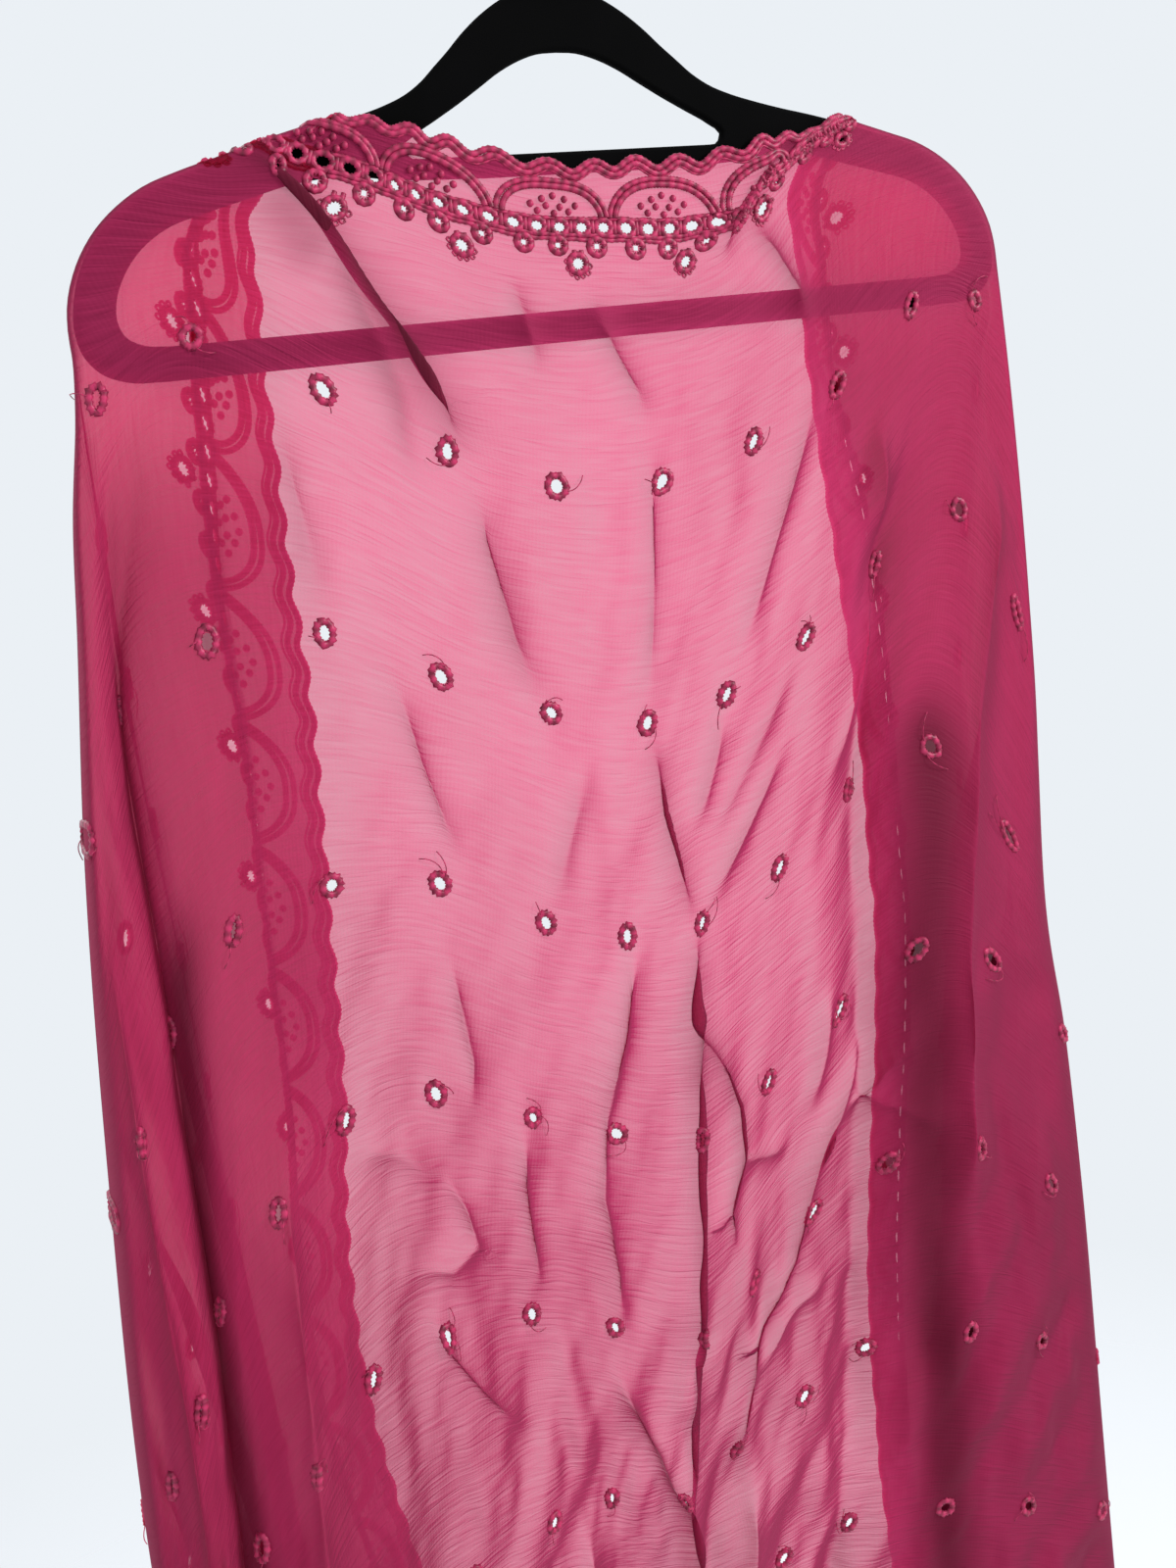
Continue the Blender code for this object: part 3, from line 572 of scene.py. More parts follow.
    def end(self, side: int, s: Array, t: Array) -> Array:
        """Places one hanging end.

        Args:
            side: -1 left, 1 right.
            s: distances along the length from the panel's middle, growing downwards, mm.
            t: places across the width, mm.

        Returns:
            An N x 3 array, mm.
        """
        shape = END_SHAPES[side]
        start = np.abs(self.fold_s(side, t))
        fold_x, fold_z = self.fold_xz(side, t)
        run = np.maximum(s - start, 0.0)
        share = np.clip(run / (self.half_length - start), 0.0, 1.0)
        down = np.clip(t / self.width, 0.0, 1.0)
        end_x = shape.inner[0] + (shape.outer[0] - shape.inner[0]) * down
        end_z = shape.inner[1] + (shape.outer[1] - shape.inner[1]) * down**1.15
        first_x = float(self.fold_xz(side, np.zeros(1))[0][0])
        edge = np.array(shape.inner_edge, float)
        straight = first_x + (shape.inner[0] - first_x) * share
        swing = through(edge[:, 0], edge[:, 1], share * edge[-1, 0]) - straight
        x = fold_x + (end_x - fold_x) * share + swing * bell(np.maximum(t, 0.0), 58.0 + 320.0 * share)
        z = fold_z + (end_z - fold_z) * share
        fallen = ease(run / 120.0)
        pleat = ease((t - 150.0) / 80.0) * ease(run / 110.0)
        roll = shape.roll.at(t) * fallen * ease(-z / 130.0) * (1.0 - pleat)
        phase = FULL_TURN * (t - self.row_first) / self.row_pitch
        crest = self.pleat_depth * pleat * 0.5 * (1.0 + np.cos(phase))
        curl = 4.0 * (1.0 - np.exp(-np.maximum(t, -6.0) / 20.0)) * bell(t, 60.0) * fallen
        aside = shape.roll.lean * roll - shape.pleat_lean * crest + 3.5 * pleat * np.sin(2.0 * phase) + curl
        flat = self.standoff + 7.0 * ease(-z / 200.0)
        step_back = 12.0 * ease((t - 80.0) / 70.0) * ease(-z / 30.0)
        depth = flat + roll + step_back * (1.0 - pleat) + crest
        depth = depth + 0.8 * self.crumple(side * s, t) * ease((run - 10.0) / 70.0)
        return np.stack([x + side * aside, depth * self.turned(run, self.turn_radius(t)), z], axis=1)

    def place(self, stretch: Stretch, s: Array, t: Array) -> Array:
        """Places points of one stretch, N x 3 in mm, also a little past its fold lines."""
        return self.end(stretch.side, np.abs(s), t) if stretch.side else self.front(s, t)

    def belongs(self, stretch: Stretch, s: Array, t: Array) -> Array:
        """Tells which places, by their signed s and their t, are on a stretch."""
        left, right = s < self.fold_s(-1, t), s > self.fold_s(1, t)
        return {Stretch.FRONT: ~left & ~right, Stretch.LEFT_END: left, Stretch.RIGHT_END: right}[stretch]

    def anywhere(self, s: Array, t: Array) -> Array:
        """Places points on whichever stretch they belong to.

        Args:
            s: signed places along the length, mm.
            t: places across the width, mm.

        Returns:
            An N x 3 array, mm.
        """
        points = np.zeros((len(s), 3))
        for stretch in Stretch:
            mine = self.belongs(stretch, s, t)
            if mine.any():
                points[mine] = self.place(stretch, s[mine], t[mine])
        return points

    def face_of(self, s: Array, t: Array, reach: float = 0.5) -> Array:
        """Finds the direction the cloth's outer face looks in.

        Args:
            s: signed places along the length, mm.
            t: places across the width, mm.
            reach: how far to either side the slope is measured, mm.

        Returns:
            Unit vectors, N x 3.
        """
        along = self.anywhere(s + reach, t) - self.anywhere(s - reach, t)
        down = self.anywhere(s, t + reach) - self.anywhere(s, t - reach)
        out = np.cross(down, along)
        return out / np.maximum(np.linalg.norm(out, axis=1, keepdims=True), 1e-9)

    def scallop(self, s: Array) -> Array:
        """Gives the scalloped edge, which curls back behind the arms and lies flatter there.

        Args:
            s: places along the length, mm.

        Returns:
            t of the edge at each.
        """
        left, right = (float(end) for end in self.span(Stretch.FRONT, 0.0))
        flatter = 1.0 - 0.6 * ease((left - s) / 40.0) - 0.35 * ease((s - right) / 40.0)
        return -self.scallop_rise * flatter * np.cos(FULL_TURN * s / self.scallop_pitch)


# ---------------------------------------------------------------- meshes
@dataclass
class Draft:
    """Gathers points and faces in millimetres and turns them into one piece."""

    points: list[Array] = field(default_factory=list)
    faces: Faces = field(default_factory=list)
    flat: list[Array] = field(default_factory=list)
    count: int = 0

    def add(self, points: Array, faces: Faces, flat: Array) -> None:
        """Adds a patch.

        Args:
            points: N x 3, mm.
            faces: corner numbers within the patch.
            flat: N x 2 places for the UV map, mm.
        """
        self.points.append(points)
        self.flat.append(flat)
        self.faces.extend(tuple(corner + self.count for corner in face) for face in faces)
        self.count += len(points)

    def piece(self, name: str, material: bpy.types.Material, slot: str) -> bpy.types.Object:
        """Makes the object and lets it ride on the body.

        Args:
            name: the piece's name.
            material: its finish.
            slot: the material slot of the record that it takes; not used.

        Returns:
            The new object.
        """
        points = (np.concatenate(self.points) - (0.0, 0.0, HOOK_SEAT)) / 1000.0
        mesh = bpy.data.meshes.new(name)
        mesh.from_pydata(points, [], self.faces)
        mesh.polygons.foreach_set("use_smooth", [True] * len(mesh.polygons))
        corners = np.zeros(len(mesh.loops), int)
        mesh.loops.foreach_get("vertex_index", corners)
        layer = mesh.uv_layers.new(name=FLAT_MAP)
        layer.data.foreach_set("uv", (np.concatenate(self.flat)[corners] / 1000.0).ravel())
        mesh.materials.append(material)
        item = bpy.data.objects.new(name, mesh)
        bpy.context.scene.collection.objects.link(item)
        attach(item, BODY)
        return item


def tube_faces(steps: int, sides: int, closed: bool = False) -> Faces:
    """Joins rings of points, counted round the way the tube heads, into a tube.

    Args:
        steps: rings along it.
        sides: points in a ring.
        closed: whether the last ring meets the first; the ends are capped otherwise.

    Returns:
        Its faces, looking outwards.
    """
    faces = []
    for i in range(steps if closed else steps - 1):
        here, there = i * sides, (i + 1) % steps * sides
        for k in range(sides):
            after = (k + 1) % sides
            faces.append((here + k, here + after, there + after, there + k))
    if not closed:
        faces.append(tuple(reversed(range(sides))))
        faces.append(tuple(range((steps - 1) * sides, steps * sides)))
    return faces


@dataclass
class Stitcher:
    """Works strands of thread into the draped cloth."""

    drape: Drape
    raised: float = 1.3  # behind the arms the work stands wholly on the outer face, mm

    def strands(
        self,
        draft: Draft,
        s: Array,
        t: Array | float,
        radius: Array | float,
        sides: int = 6,
        flat: float = 1.0,
        lift: Array | float = 0.0,
        closed: bool = False,
    ) -> None:
        """Adds tubes that follow lines on the cloth.

        Args:
            draft: where the tubes go.
            s: K x M places along the length, one row for each strand, mm.
            t: K x M places across the width, or what they all share, mm.
            radius: half the strand's thickness along it, mm.
            sides: corners of its section.
            flat: its height over its breadth.
            lift: how far its middle stands off the cloth, mm.
            closed: whether each strand is a ring.
        """
        strands, steps = s.shape
        t = np.broadcast_to(t, s.shape)
        middle = self.drape.anywhere(s.ravel(), t.ravel()).reshape(strands, steps, 3)
        face = self.drape.face_of(s.ravel(), t.ravel()).reshape(strands, steps, 3)
        if closed:
            heading = np.roll(middle, -1, axis=1) - np.roll(middle, 1, axis=1)
        else:
            heading = np.gradient(middle, axis=1)
        across = np.cross(face, heading)
        across /= np.maximum(np.linalg.norm(across, axis=2, keepdims=True), 1e-9)
        left, right = self.drape.span(Stretch.FRONT, t)
        behind = np.maximum(left - s, s - right)
        middle = middle + face * (lift + self.raised * ease(behind / 15.0))[..., None]
        angle = FULL_TURN * np.arange(sides) / sides
        ring = np.cos(angle)[:, None] * across[:, :, None, :]
        ring = ring + flat * np.sin(angle)[:, None] * face[:, :, None, :]
        points = middle[:, :, None, :] + np.broadcast_to(radius, s.shape)[..., None, None] * ring
        steps_long = np.linalg.norm(np.diff(middle, axis=1), axis=2)
        length = np.concatenate([np.zeros((strands, 1)), np.cumsum(steps_long, axis=1)], axis=1)
        around = np.broadcast_to(angle, (strands, steps, sides))
        chart = np.stack([np.broadcast_to(length[..., None], around.shape), around], axis=-1)
        faces = tube_faces(steps, sides, closed)
        for strand in range(strands):
            draft.add(points[strand].reshape(-1, 3), faces, chart[strand].reshape(-1, 2))


# ---------------------------------------------------------------- finishes
def linear(colour: str) -> tuple[float, float, float, float]:
    """Turns an sRGB hex colour to linear light.

    Args:
        colour: the colour, such as "#c8325f".

    Returns:
        Red, green, blue and 1.
    """
    parts = (int(colour[i : i + 2], 16) / 255.0 for i in (1, 3, 5))
    red, green, blue = (p / 12.92 if p <= 0.04045 else ((p + 0.055) / 1.055) ** 2.4 for p in parts)
    return red, green, blue, 1.0


def add_node(
    tree: bpy.types.NodeTree, kind: str, settings: dict | None = None, links: dict | None = None
) -> bpy.types.Node:
    """Adds a shader node.

    Args:
        tree: the material's node tree.
        kind: the node's type, as Blender names it after "ShaderNode".
        settings: attributes, or values of inputs by name or number.
        links: outputs to join, by input name or number.

    Returns:
        The new node.
    """
    node = tree.nodes.new(f"ShaderNode{kind}")
    for key, value in (settings or {}).items():
        if isinstance(key, str) and hasattr(node, key):
            setattr(node, key, value)
        else:
            node.inputs[key].default_value = value
    for key, output in (links or {}).items():
        tree.links.new(output, node.inputs[key])
    return node


@dataclass(frozen=True)
class Finish:
    """A finish of one named material."""

    name: str

    def surface(self, tree: bpy.types.NodeTree) -> bpy.types.Node:
        """Adds the finish's nodes.

        Args:
            tree: where the nodes go.

        Returns:
            The last node.
        """
        raise NotImplementedError

    def material(self) -> bpy.types.Material:
        """Builds the node material.

        Returns:
            The material, with the finish's nodes on its surface.
        """
        material = bpy.data.materials.new(self.name)
        material.use_nodes = True
        tree = material.node_tree
        tree.nodes.clear()
        surface = self.surface(tree).outputs[0]
        add_node(tree, "OutputMaterial", {}, {"Surface": surface})
        return material


@dataclass(frozen=True)
class CrinkleChiffon(Finish):
    """Polyester crinkle chiffon, woven from hard-twisted yarn and piece-dyed raspberry.

    The twist pulls the cloth into fine ridges along its length. Light comes straight through the gaps
    tinted by the yarn, and the yarn itself glows softly, so each further layer looks deeper.
    """

    name: str = "crinkle_chiffon_woven_piece_dyed"
    through_tint: tuple[float, float, float] = (0.98, 0.62, 0.68)
    yarn: str = "#e63c79"
    yarn_deep: str = "#d42c68"
    steep_shade: str = "#9c2450"  # painted shade: the yarn darkens where the cloth turns away from the camera, on the slopes of folds; its yarns closing up there is real and lies in the cover
    # painted shade: colour of cloth painted as lying many layers deep in the dark
    bunched_shade: str = "#680a2c"
    bloom: str = "#ff7aa6"  # loose fibre ends catch the light in the dye's own colour
    cover: float = 0.5  # share of the surface that is yarn, seen head on
    cover_spread: float = 0.065  # how much the crinkle closes or opens it
    lean_cover: float = 1.1  # how fast it closes as the cloth turns away
    # cover of cloth painted as lying many layers deep; it stands in for layers that are not built
    bunched_shade_cover: float = 0.93
    ridge_mm: float = 1.6  # from crinkle to crinkle
    ridge_run_mm: float = 24.0  # how far one crinkle runs
    wide_share: float = 0.3  # fineness of the wider crinkles that lie over the fine ones
    thread_mm: float = 1.7765  # real threads are 0.2 mm apart; drawn coarser so they show

    def ridges(self, tree: bpy.types.NodeTree, flat: bpy.types.NodeSocket) -> bpy.types.NodeSocket:
        """Adds the crinkle's height: fine ridges, wider ones and threads.

        Args:
            tree: the material's node tree.
            flat: the place on the flat panel.

        Returns:
            The height's output.
        """
        run, pitch = 1000.0 / self.ridge_run_mm, 1000.0 / self.ridge_mm
        noise = {"noise_dimensions": "2D", "Scale": 1.0}
        place = add_node(tree, "Mapping", {"Scale": (run, pitch, 1.0)}, {"Vector": flat}).outputs[0]
        fine = add_node(tree, "TexNoise", noise | {"Detail": 1.4, "Distortion": 0.5}, {"Vector": place})
        wide_scale = (run * self.wide_share, pitch * self.wide_share, 1.0)
        wide_place = add_node(
            tree, "Mapping", {"Scale": wide_scale, "Rotation": (0.0, 0.0, 0.06)}, {"Vector": flat}
        ).outputs[0]
        wide = add_node(tree, "TexNoise", noise | {"Detail": 1.5}, {"Vector": wide_place})
        bands = {"bands_direction": "X", "Distortion": 3.0, "Detail": 1.0}
        bands["Scale"] = MILLIMETRE_BANDS / self.thread_mm
        thread = add_node(tree, "TexWave", bands, {"Vector": flat})
        crinkle = {0: wide.outputs["Fac"], 2: fine.outputs["Fac"]}
        ridge = add_node(tree, "Math", {"operation": "MULTIPLY_ADD", 1: 0.22}, crinkle).outputs[0]
        threads = {0: thread.outputs["Fac"], 2: ridge}
        return add_node(tree, "Math", {"operation": "MULTIPLY_ADD", 1: 0.06}, threads).outputs[0]

    def surface(self, tree: bpy.types.NodeTree) -> bpy.types.Node:
        """Adds the cloth's nodes.

        Args:
            tree: where the nodes go.

        Returns:
            The last node.
        """
        flat = add_node(tree, "UVMap", {"uv_map": FLAT_MAP}).outputs["UV"]
        ridges = self.ridges(tree, flat)
        patches = {"noise_dimensions": "2D", "Scale": 14.0, "Detail": 2.0}
        dye = add_node(tree, "TexNoise", patches, {"Vector": flat}).outputs["Fac"]
        dyed = {"data_type": "RGBA", 6: linear(self.yarn), 7: linear(self.yarn_deep)}
        single = add_node(tree, "Mix", dyed, {0: dye}).outputs[2]
        gathered_shade = add_node(tree, "Attribute", {"attribute_name": GATHERED_SHADE}).outputs["Fac"]
        bump = add_node(tree, "Bump", {"Strength": 0.5, "Distance": 0.0008}, {"Height": ridges}).outputs[0]
        lean = add_node(tree, "LayerWeight", {"Blend": 0.5}, {"Normal": bump}).outputs["Facing"]
        # painted shade: the yarn colour darkens as the cloth turns away from the camera
        steep_shading = add_node(tree, "MapRange", {"From Min": 0.08, "From Max": 0.6}, {"Value": lean}).outputs[0]
        steep_shade = {"data_type": "RGBA", 7: linear(self.steep_shade)}
        turned = add_node(tree, "Mix", steep_shade, {0: steep_shading, 6: single}).outputs[2]
        # painted shade: the yarn darkens, and its cover closes, where the cloth is marked as lying many
        # layers deep
        bunched_shade = {"data_type": "RGBA", 7: linear(self.bunched_shade)}
        yarn = add_node(tree, "Mix", bunched_shade, {0: gathered_shade, 6: turned}).outputs[2]
        low, high = self.cover - self.cover_spread, self.cover + self.cover_spread
        closed = {"From Min": 0.35, "From Max": 0.95, "To Min": low, "To Max": high}
        cover = add_node(tree, "MapRange", closed, {"Value": ridges}).outputs[0]
        leaning = {"operation": "MULTIPLY_ADD", 1: self.lean_cover, "use_clamp": True}
        covered = add_node(tree, "Math", leaning, {0: lean, 2: cover}).outputs[0]
        opaque = add_node(
            tree, "Mix", {"data_type": "FLOAT", 3: self.bunched_shade_cover}, {0: gathered_shade, 2: covered}
        ).outputs[0]
        matte = {"Roughness": 0.72, "IOR": 1.46, "Specular IOR Level": 0.3}
        sheen = {"Sheen Weight": 0.25, "Sheen Roughness": 0.4, "Sheen Tint": linear(self.bloom)}
        lit = add_node(tree, "BsdfPrincipled", matte | sheen, {"Base Color": yarn, "Normal": bump}).outputs[0]
        glow = add_node(tree, "BsdfTranslucent", {}, {"Color": yarn, "Normal": bump}).outputs[0]
        body = add_node(tree, "MixShader", {0: 0.5}, {1: lit, 2: glow}).outputs[0]
        clear = add_node(tree, "BsdfTransparent", {"Color": (*self.through_tint, 1.0)}).outputs[0]
        return add_node(tree, "MixShader", {}, {0: opaque, 1: clear, 2: body})


@dataclass(frozen=True)
class RayonThread(Finish):
    """Twisted rayon embroidery thread, laid as satin and buttonhole stitch.

    It is glossier than the cloth and solid. Its fine bright and dark bars across each strand are painted
    highlights and painted shade where the twist catches the light, with patches of random tone over them.
    """

    name: str = "rayon_thread_satin_stitched"
    # lit is a painted highlight where the twist catches the light, and deep the painted shade between the
    # highlights
    lit: str = "#bf2a5c"
    deep: str = "#6c0a2c"
    past: str = "#f08cae"  # light that passes between the strands
    glow: float = 0.12  # share of the light that comes through the strands
    clear: float = 0.0  # share that passes between loosely laid strands
    bar_mm: float = 4.712  # from one painted sheen bar to the next; real stitches, 0.35 mm apart, are too fine to show

    def surface(self, tree: bpy.types.NodeTree) -> bpy.types.Node:
        """Adds the thread's nodes.

        Args:
            tree: where the nodes go.

        Returns:
            The last node.
        """
        along = add_node(tree, "UVMap", {"uv_map": FLAT_MAP}).outputs["UV"]
        stitches = {"bands_direction": "X", "Distortion": 1.2, "Detail": 1.0}
        stitches["Scale"] = MILLIMETRE_BANDS / self.bar_mm
        bars = add_node(tree, "TexWave", stitches, {"Vector": along}).outputs["Fac"]
        place = add_node(tree, "TexCoord").outputs["Object"]
        patch = add_node(tree, "TexNoise", {"Scale": 190.0, "Detail": 3.0}, {"Vector": place}).outputs["Fac"]
        shade = add_node(tree, "Math", {"operation": "MULTIPLY_ADD", 1: 0.45}, {0: bars, 2: patch}).outputs[0]
        # painted highlight and painted shade: sheen bars along the strand, with patches of random tone, pick
        # between the lit and deep colours
        painted_sheen = add_node(tree, "MapRange", {"From Min": 0.35, "From Max": 1.0}, {"Value": shade}).outputs[0]
        dyed = {"data_type": "RGBA", 6: linear(self.deep), 7: linear(self.lit)}
        colour = add_node(tree, "Mix", dyed, {0: painted_sheen}).outputs[2]
        bump = add_node(tree, "Bump", {"Strength": 0.6, "Distance": 0.0004}, {"Height": shade}).outputs[0]
        silky = {"Roughness": 0.45, "IOR": 1.5, "Specular IOR Level": 0.35}
        sheen = {"Sheen Weight": 0.08, "Sheen Roughness": 0.35}
        coated = {"Base Color": colour, "Normal": bump}
        lit = add_node(tree, "BsdfPrincipled", silky | sheen, coated).outputs[0]
        through_it = add_node(tree, "BsdfTranslucent", {}, {"Color": colour, "Normal": bump}).outputs[0]
        both = add_node(tree, "MixShader", {0: self.glow}, {1: lit, 2: through_it}).outputs[0]
        past = add_node(tree, "BsdfTransparent", {"Color": linear(self.past)}).outputs[0]
        return add_node(tree, "MixShader", {0: self.clear}, {1: both, 2: past})


@dataclass(frozen=True)
class NylonFlock(Finish):
    """Short nylon flock, shot on to glued plastic.

    The fibres stand on end and drink in light, so it is near black with a faint grey bloom at its edges.
    """

    name: str = "nylon_flock_electrostatic"
    colour: str = "#020202"
    bloom: str = "#080708"
    fibre_mm: float = 0.5  # real fibres are 0.02 mm thick; drawn as tufts so they show

    def surface(self, tree: bpy.types.NodeTree) -> bpy.types.Node:
        """Adds the flock's nodes.

        Args:
            tree: where the nodes go.

        Returns:
            The last node.
        """
        place = {"Vector": add_node(tree, "TexCoord").outputs["Object"]}
        fibres = {"Scale": 1000.0 / self.fibre_mm, "Detail": 3.0}
        tufts = add_node(tree, "TexNoise", fibres, place).outputs["Fac"]
        worn = add_node(tree, "TexNoise", {"Scale": 35.0, "Detail": 2.0}, place).outputs["Fac"]
        mixed = add_node(tree, "Math", {"operation": "MULTIPLY"}, {0: tufts, 1: worn}).outputs[0]
        dyed = {"data_type": "RGBA", 6: linear(self.colour), 7: linear(self.bloom)}
        colour = add_node(tree, "Mix", dyed, {0: mixed}).outputs[2]
        bump = add_node(tree, "Bump", {"Strength": 0.5, "Distance": 0.0003}, {"Height": tufts}).outputs[0]
        matte = {"Roughness": 0.95, "Specular IOR Level": 0.04, "Sheen Weight": 0.012, "Sheen Roughness": 0.5}
        return add_node(tree, "BsdfPrincipled", matte, {"Base Color": colour, "Normal": bump})


@dataclass(frozen=True)
class PlatedWire(Finish):
    """Steel wire, bent and nickel-plated: bright, with faint drawing lines that soften its highlights."""

    name: str = "steel_wire_nickel_plated"
    colour: str = "#d9d6d0"

    def surface(self, tree: bpy.types.NodeTree) -> bpy.types.Node:
        """Adds the wire's nodes.

        Args:
            tree: where the nodes go.

        Returns:
            The last node.
        """
        place = add_node(tree, "TexCoord").outputs["Object"]
        lines = add_node(tree, "TexNoise", {"Scale": 900.0, "Detail": 2.0}, {"Vector": place}).outputs["Fac"]
        rough = add_node(tree, "MapRange", {"To Min": 0.16, "To Max": 0.32}, {"Value": lines}).outputs[0]
        bump = add_node(tree, "Bump", {"Strength": 0.15, "Distance": 0.0001}, {"Height": lines}).outputs[0]
        bright = {"Base Color": linear(self.colour), "Metallic": 1.0}
        return add_node(tree, "BsdfPrincipled", bright, {"Roughness": rough, "Normal": bump})


@dataclass(frozen=True)
class FadedFloor(Finish):
    """Matt pale floor paint that fades to clear towards the rim of its disc."""

    name: str = "pale_floor_paint"
    radius: float = 1.5  # m
    paint: tuple[float, float, float] = (0.8, 0.81, 0.83)

    def surface(self, tree: bpy.types.NodeTree) -> bpy.types.Node:
        """Adds the floor's nodes.

        Args:
            tree: where the nodes go.

        Returns:
            The last node.
        """
        place = add_node(tree, "TexCoord").outputs["Object"]
        shrunk = add_node(tree, "Mapping", {"Scale": (1.0 / self.radius,) * 3}, {"Vector": place}).outputs[0]
        ball = {"gradient_type": "SPHERICAL"}
        inwards = add_node(tree, "TexGradient", ball, {"Vector": shrunk}).outputs["Fac"]
        solid = add_node(tree, "MapRange", {"From Min": 0.0, "From Max": 0.6}, {"Value": inwards}).outputs[0]
        lit = add_node(tree, "BsdfDiffuse", {"Color": (*self.paint, 1.0)}).outputs[0]
        clear = add_node(tree, "BsdfTransparent").outputs[0]
        return add_node(tree, "MixShader", {}, {0: solid, 1: clear, 2: lit})


# ---------------------------------------------------------------- the embroidered openings
class HoleRow(NamedTuple):
    """One row of the border's openings, mm."""

    top: float
    bottom: float
    half: float  # half an opening along the row
    first: float  # from a repeat's start to its first opening
    pitch: float

    @property
    def middle(self) -> float:
        """Gives t of the row's middle."""
        return (self.top + self.bottom) / 2

    def nearest(self, s: Array, repeat: float) -> Array:
        """Gives s of the nearest opening, counted afresh in each repeat of the border."""
        start = np.floor(s / repeat) * repeat + self.first
        return start + self.pitch * np.round((s - start) / self.pitch)


@dataclass(frozen=True)
class CutWork:
    """Every opening of the panel, on the flat: scattered eyelets and the border's rows."""

    drape: Drape
    column_pitch: float = 54.0  # also one repeat of the border
    row_count: int = 7
    cell: float = 2.7  # the cloth's mesh step; each opening is whole cells of it
    ladder: HoleRow = HoleRow(30.4, 35.6, 2.7, 2.7, 10.8)
    second: HoleRow = HoleRow(40.6, 43.4, 1.35, 1.35, 18.9)
    pendant: HoleRow = HoleRow(47.8, 52.2, 2.7, 10.8, 54.0)  # the single hole under each arch
    under_cord: float = 8.5  # t of the mesh's first line below the corded edge
    full_round: float = 1.07  # an opening's radius over its cells' half size
    slack: float = 0.1

    def rows(self) -> list[float]:
        """Gives t of every eyelet row."""
        return [self.drape.row_first + self.drape.row_pitch * row for row in range(self.row_count)]

    def columns(self, beyond: int = 0) -> Array:
        """Gives s of every eyelet column, and of some beyond the panel's ends."""
        count = int(self.drape.half_length // self.column_pitch) + beyond
        return self.column_pitch * np.arange(-count, count + 1)

    def centres(self, s: Array, t: Array) -> tuple[Array, Array, Array, Array]:
        """Finds the opening nearest each place.

        Args:
            s: signed places along the length, mm.
            t: places across the width, mm.

        Returns:
            s and t of the nearest opening's middle and its half sizes along s and t; a half size is
            0 where no opening is near.
        """
        row = np.clip(np.round((t - self.drape.row_first) / self.drape.row_pitch), 0, self.row_count - 1)
        column = self.column_pitch * np.round(s / self.column_pitch)
        options = [(column, self.drape.row_first + self.drape.row_pitch * row, self.cell, self.cell)]
        for holes in (self.ladder, self.second, self.pendant):
            half = (holes.bottom - holes.top) / 2
            options.append((holes.nearest(s, self.column_pitch), holes.middle, holes.half, half))
        found = [np.zeros(s.shape) for _ in range(4)]
        for option in options:
            at_s, at_t, half_s, half_t = option
            here = (np.abs(s - at_s) < half_s + self.slack) & (np.abs(t - at_t) < half_t + self.slack)
            found = [np.where(here, new, old) for new, old in zip(option, found)]
        return tuple(found)

    def clear_of_folds(self, s: Array, t: Array) -> Array:
        """Tells whether openings lie wholly within one stretch.

        Args:
            s: places along the length, mm.
            t: places across the width, mm.

        Returns:
            True for each that does.
        """
        margin = self.drape.turn_radius(t) + 2.0 * self.cell + 2.0
        left, right = (np.abs(s - fold) > margin for fold in self.drape.span(Stretch.FRONT, t))
        return left & right & (np.abs(s) < self.drape.half_length - 6.0)

    def rounded(self, s: Array, t: Array) -> tuple[Array, Array]:
        """Draws the corners of each opening in, so that it is round.

        Args:
            s: signed mesh places along the length, mm.
            t: mesh places across the width, mm.

        Returns:
            The places moved.
        """
        centre_s, centre_t, half_s, half_t = self.centres(s, t)
        off_s, off_t = s - centre_s, t - centre_t
        gap = np.hypot(off_s, off_t)
        edge = (half_s > 0) & (gap > 0.2) & self.clear_of_folds(centre_s, centre_t)
        scale = np.where(edge, (half_s + half_t) / 2 * self.full_round / np.maximum(gap, 0.2), 1.0)
        return np.where(edge, centre_s + off_s * scale, s), np.where(edge, centre_t + off_t * scale, t)

    def is_open(self, s: Array, t: Array) -> Array:
        """Tells which mesh cells are cut away.

        Args:
            s: the cells' middles along the length, mm.
            t: the cells' middles across the width, mm.

        Returns:
            True for each that is.
        """
        centre_s, centre_t, half_s, half_t = self.centres(s, t)
        inside = (np.abs(s - centre_s) < half_s - 0.2) & (np.abs(t - centre_t) < half_t - 0.2)
        return inside & self.clear_of_folds(centre_s, centre_t)

    def lines(self) -> list[float]:
        """Lays out the mesh's lines below the corded edge.

        Returns:
            t of each, mm.
        """
        marks = [(self.under_cord, 8)]
        for holes, inside, below in ((self.ladder, 2, 2), (self.second, 1, 2), (self.pendant, 2, 30)):
            marks += [(holes.top, inside), (holes.bottom, below)]
        for t in self.rows():
            marks += [(t - self.cell, 2), (t + self.cell, 34 if t < 700.0 else 49)]
        marks.append((self.drape.width, 0))
        found: list[float] = []
        for (low, steps), (high, _) in zip(marks, marks[1:]):
            found += list(np.linspace(low, high, steps, endpoint=False))
        return found + [self.drape.width]


# ---------------------------------------------------------------- the cloth
TURN = (0.0, 0.03, 0.12, 0.28, 0.5, 0.75, 1.0)  # parts of the turn's radius where its curve is cut
CORD_LINES = ((0.0, 0.4), (0.35, 3.0), (0.7, 5.8))  # share of the way down the cord, distance below its edge
CLEAR_OF_TURN = 1.2  # from the turn to the first whole cell, mm
LEVEL_WITH = 1.6  # points of two lines that are nearer than this, along the length, stand level


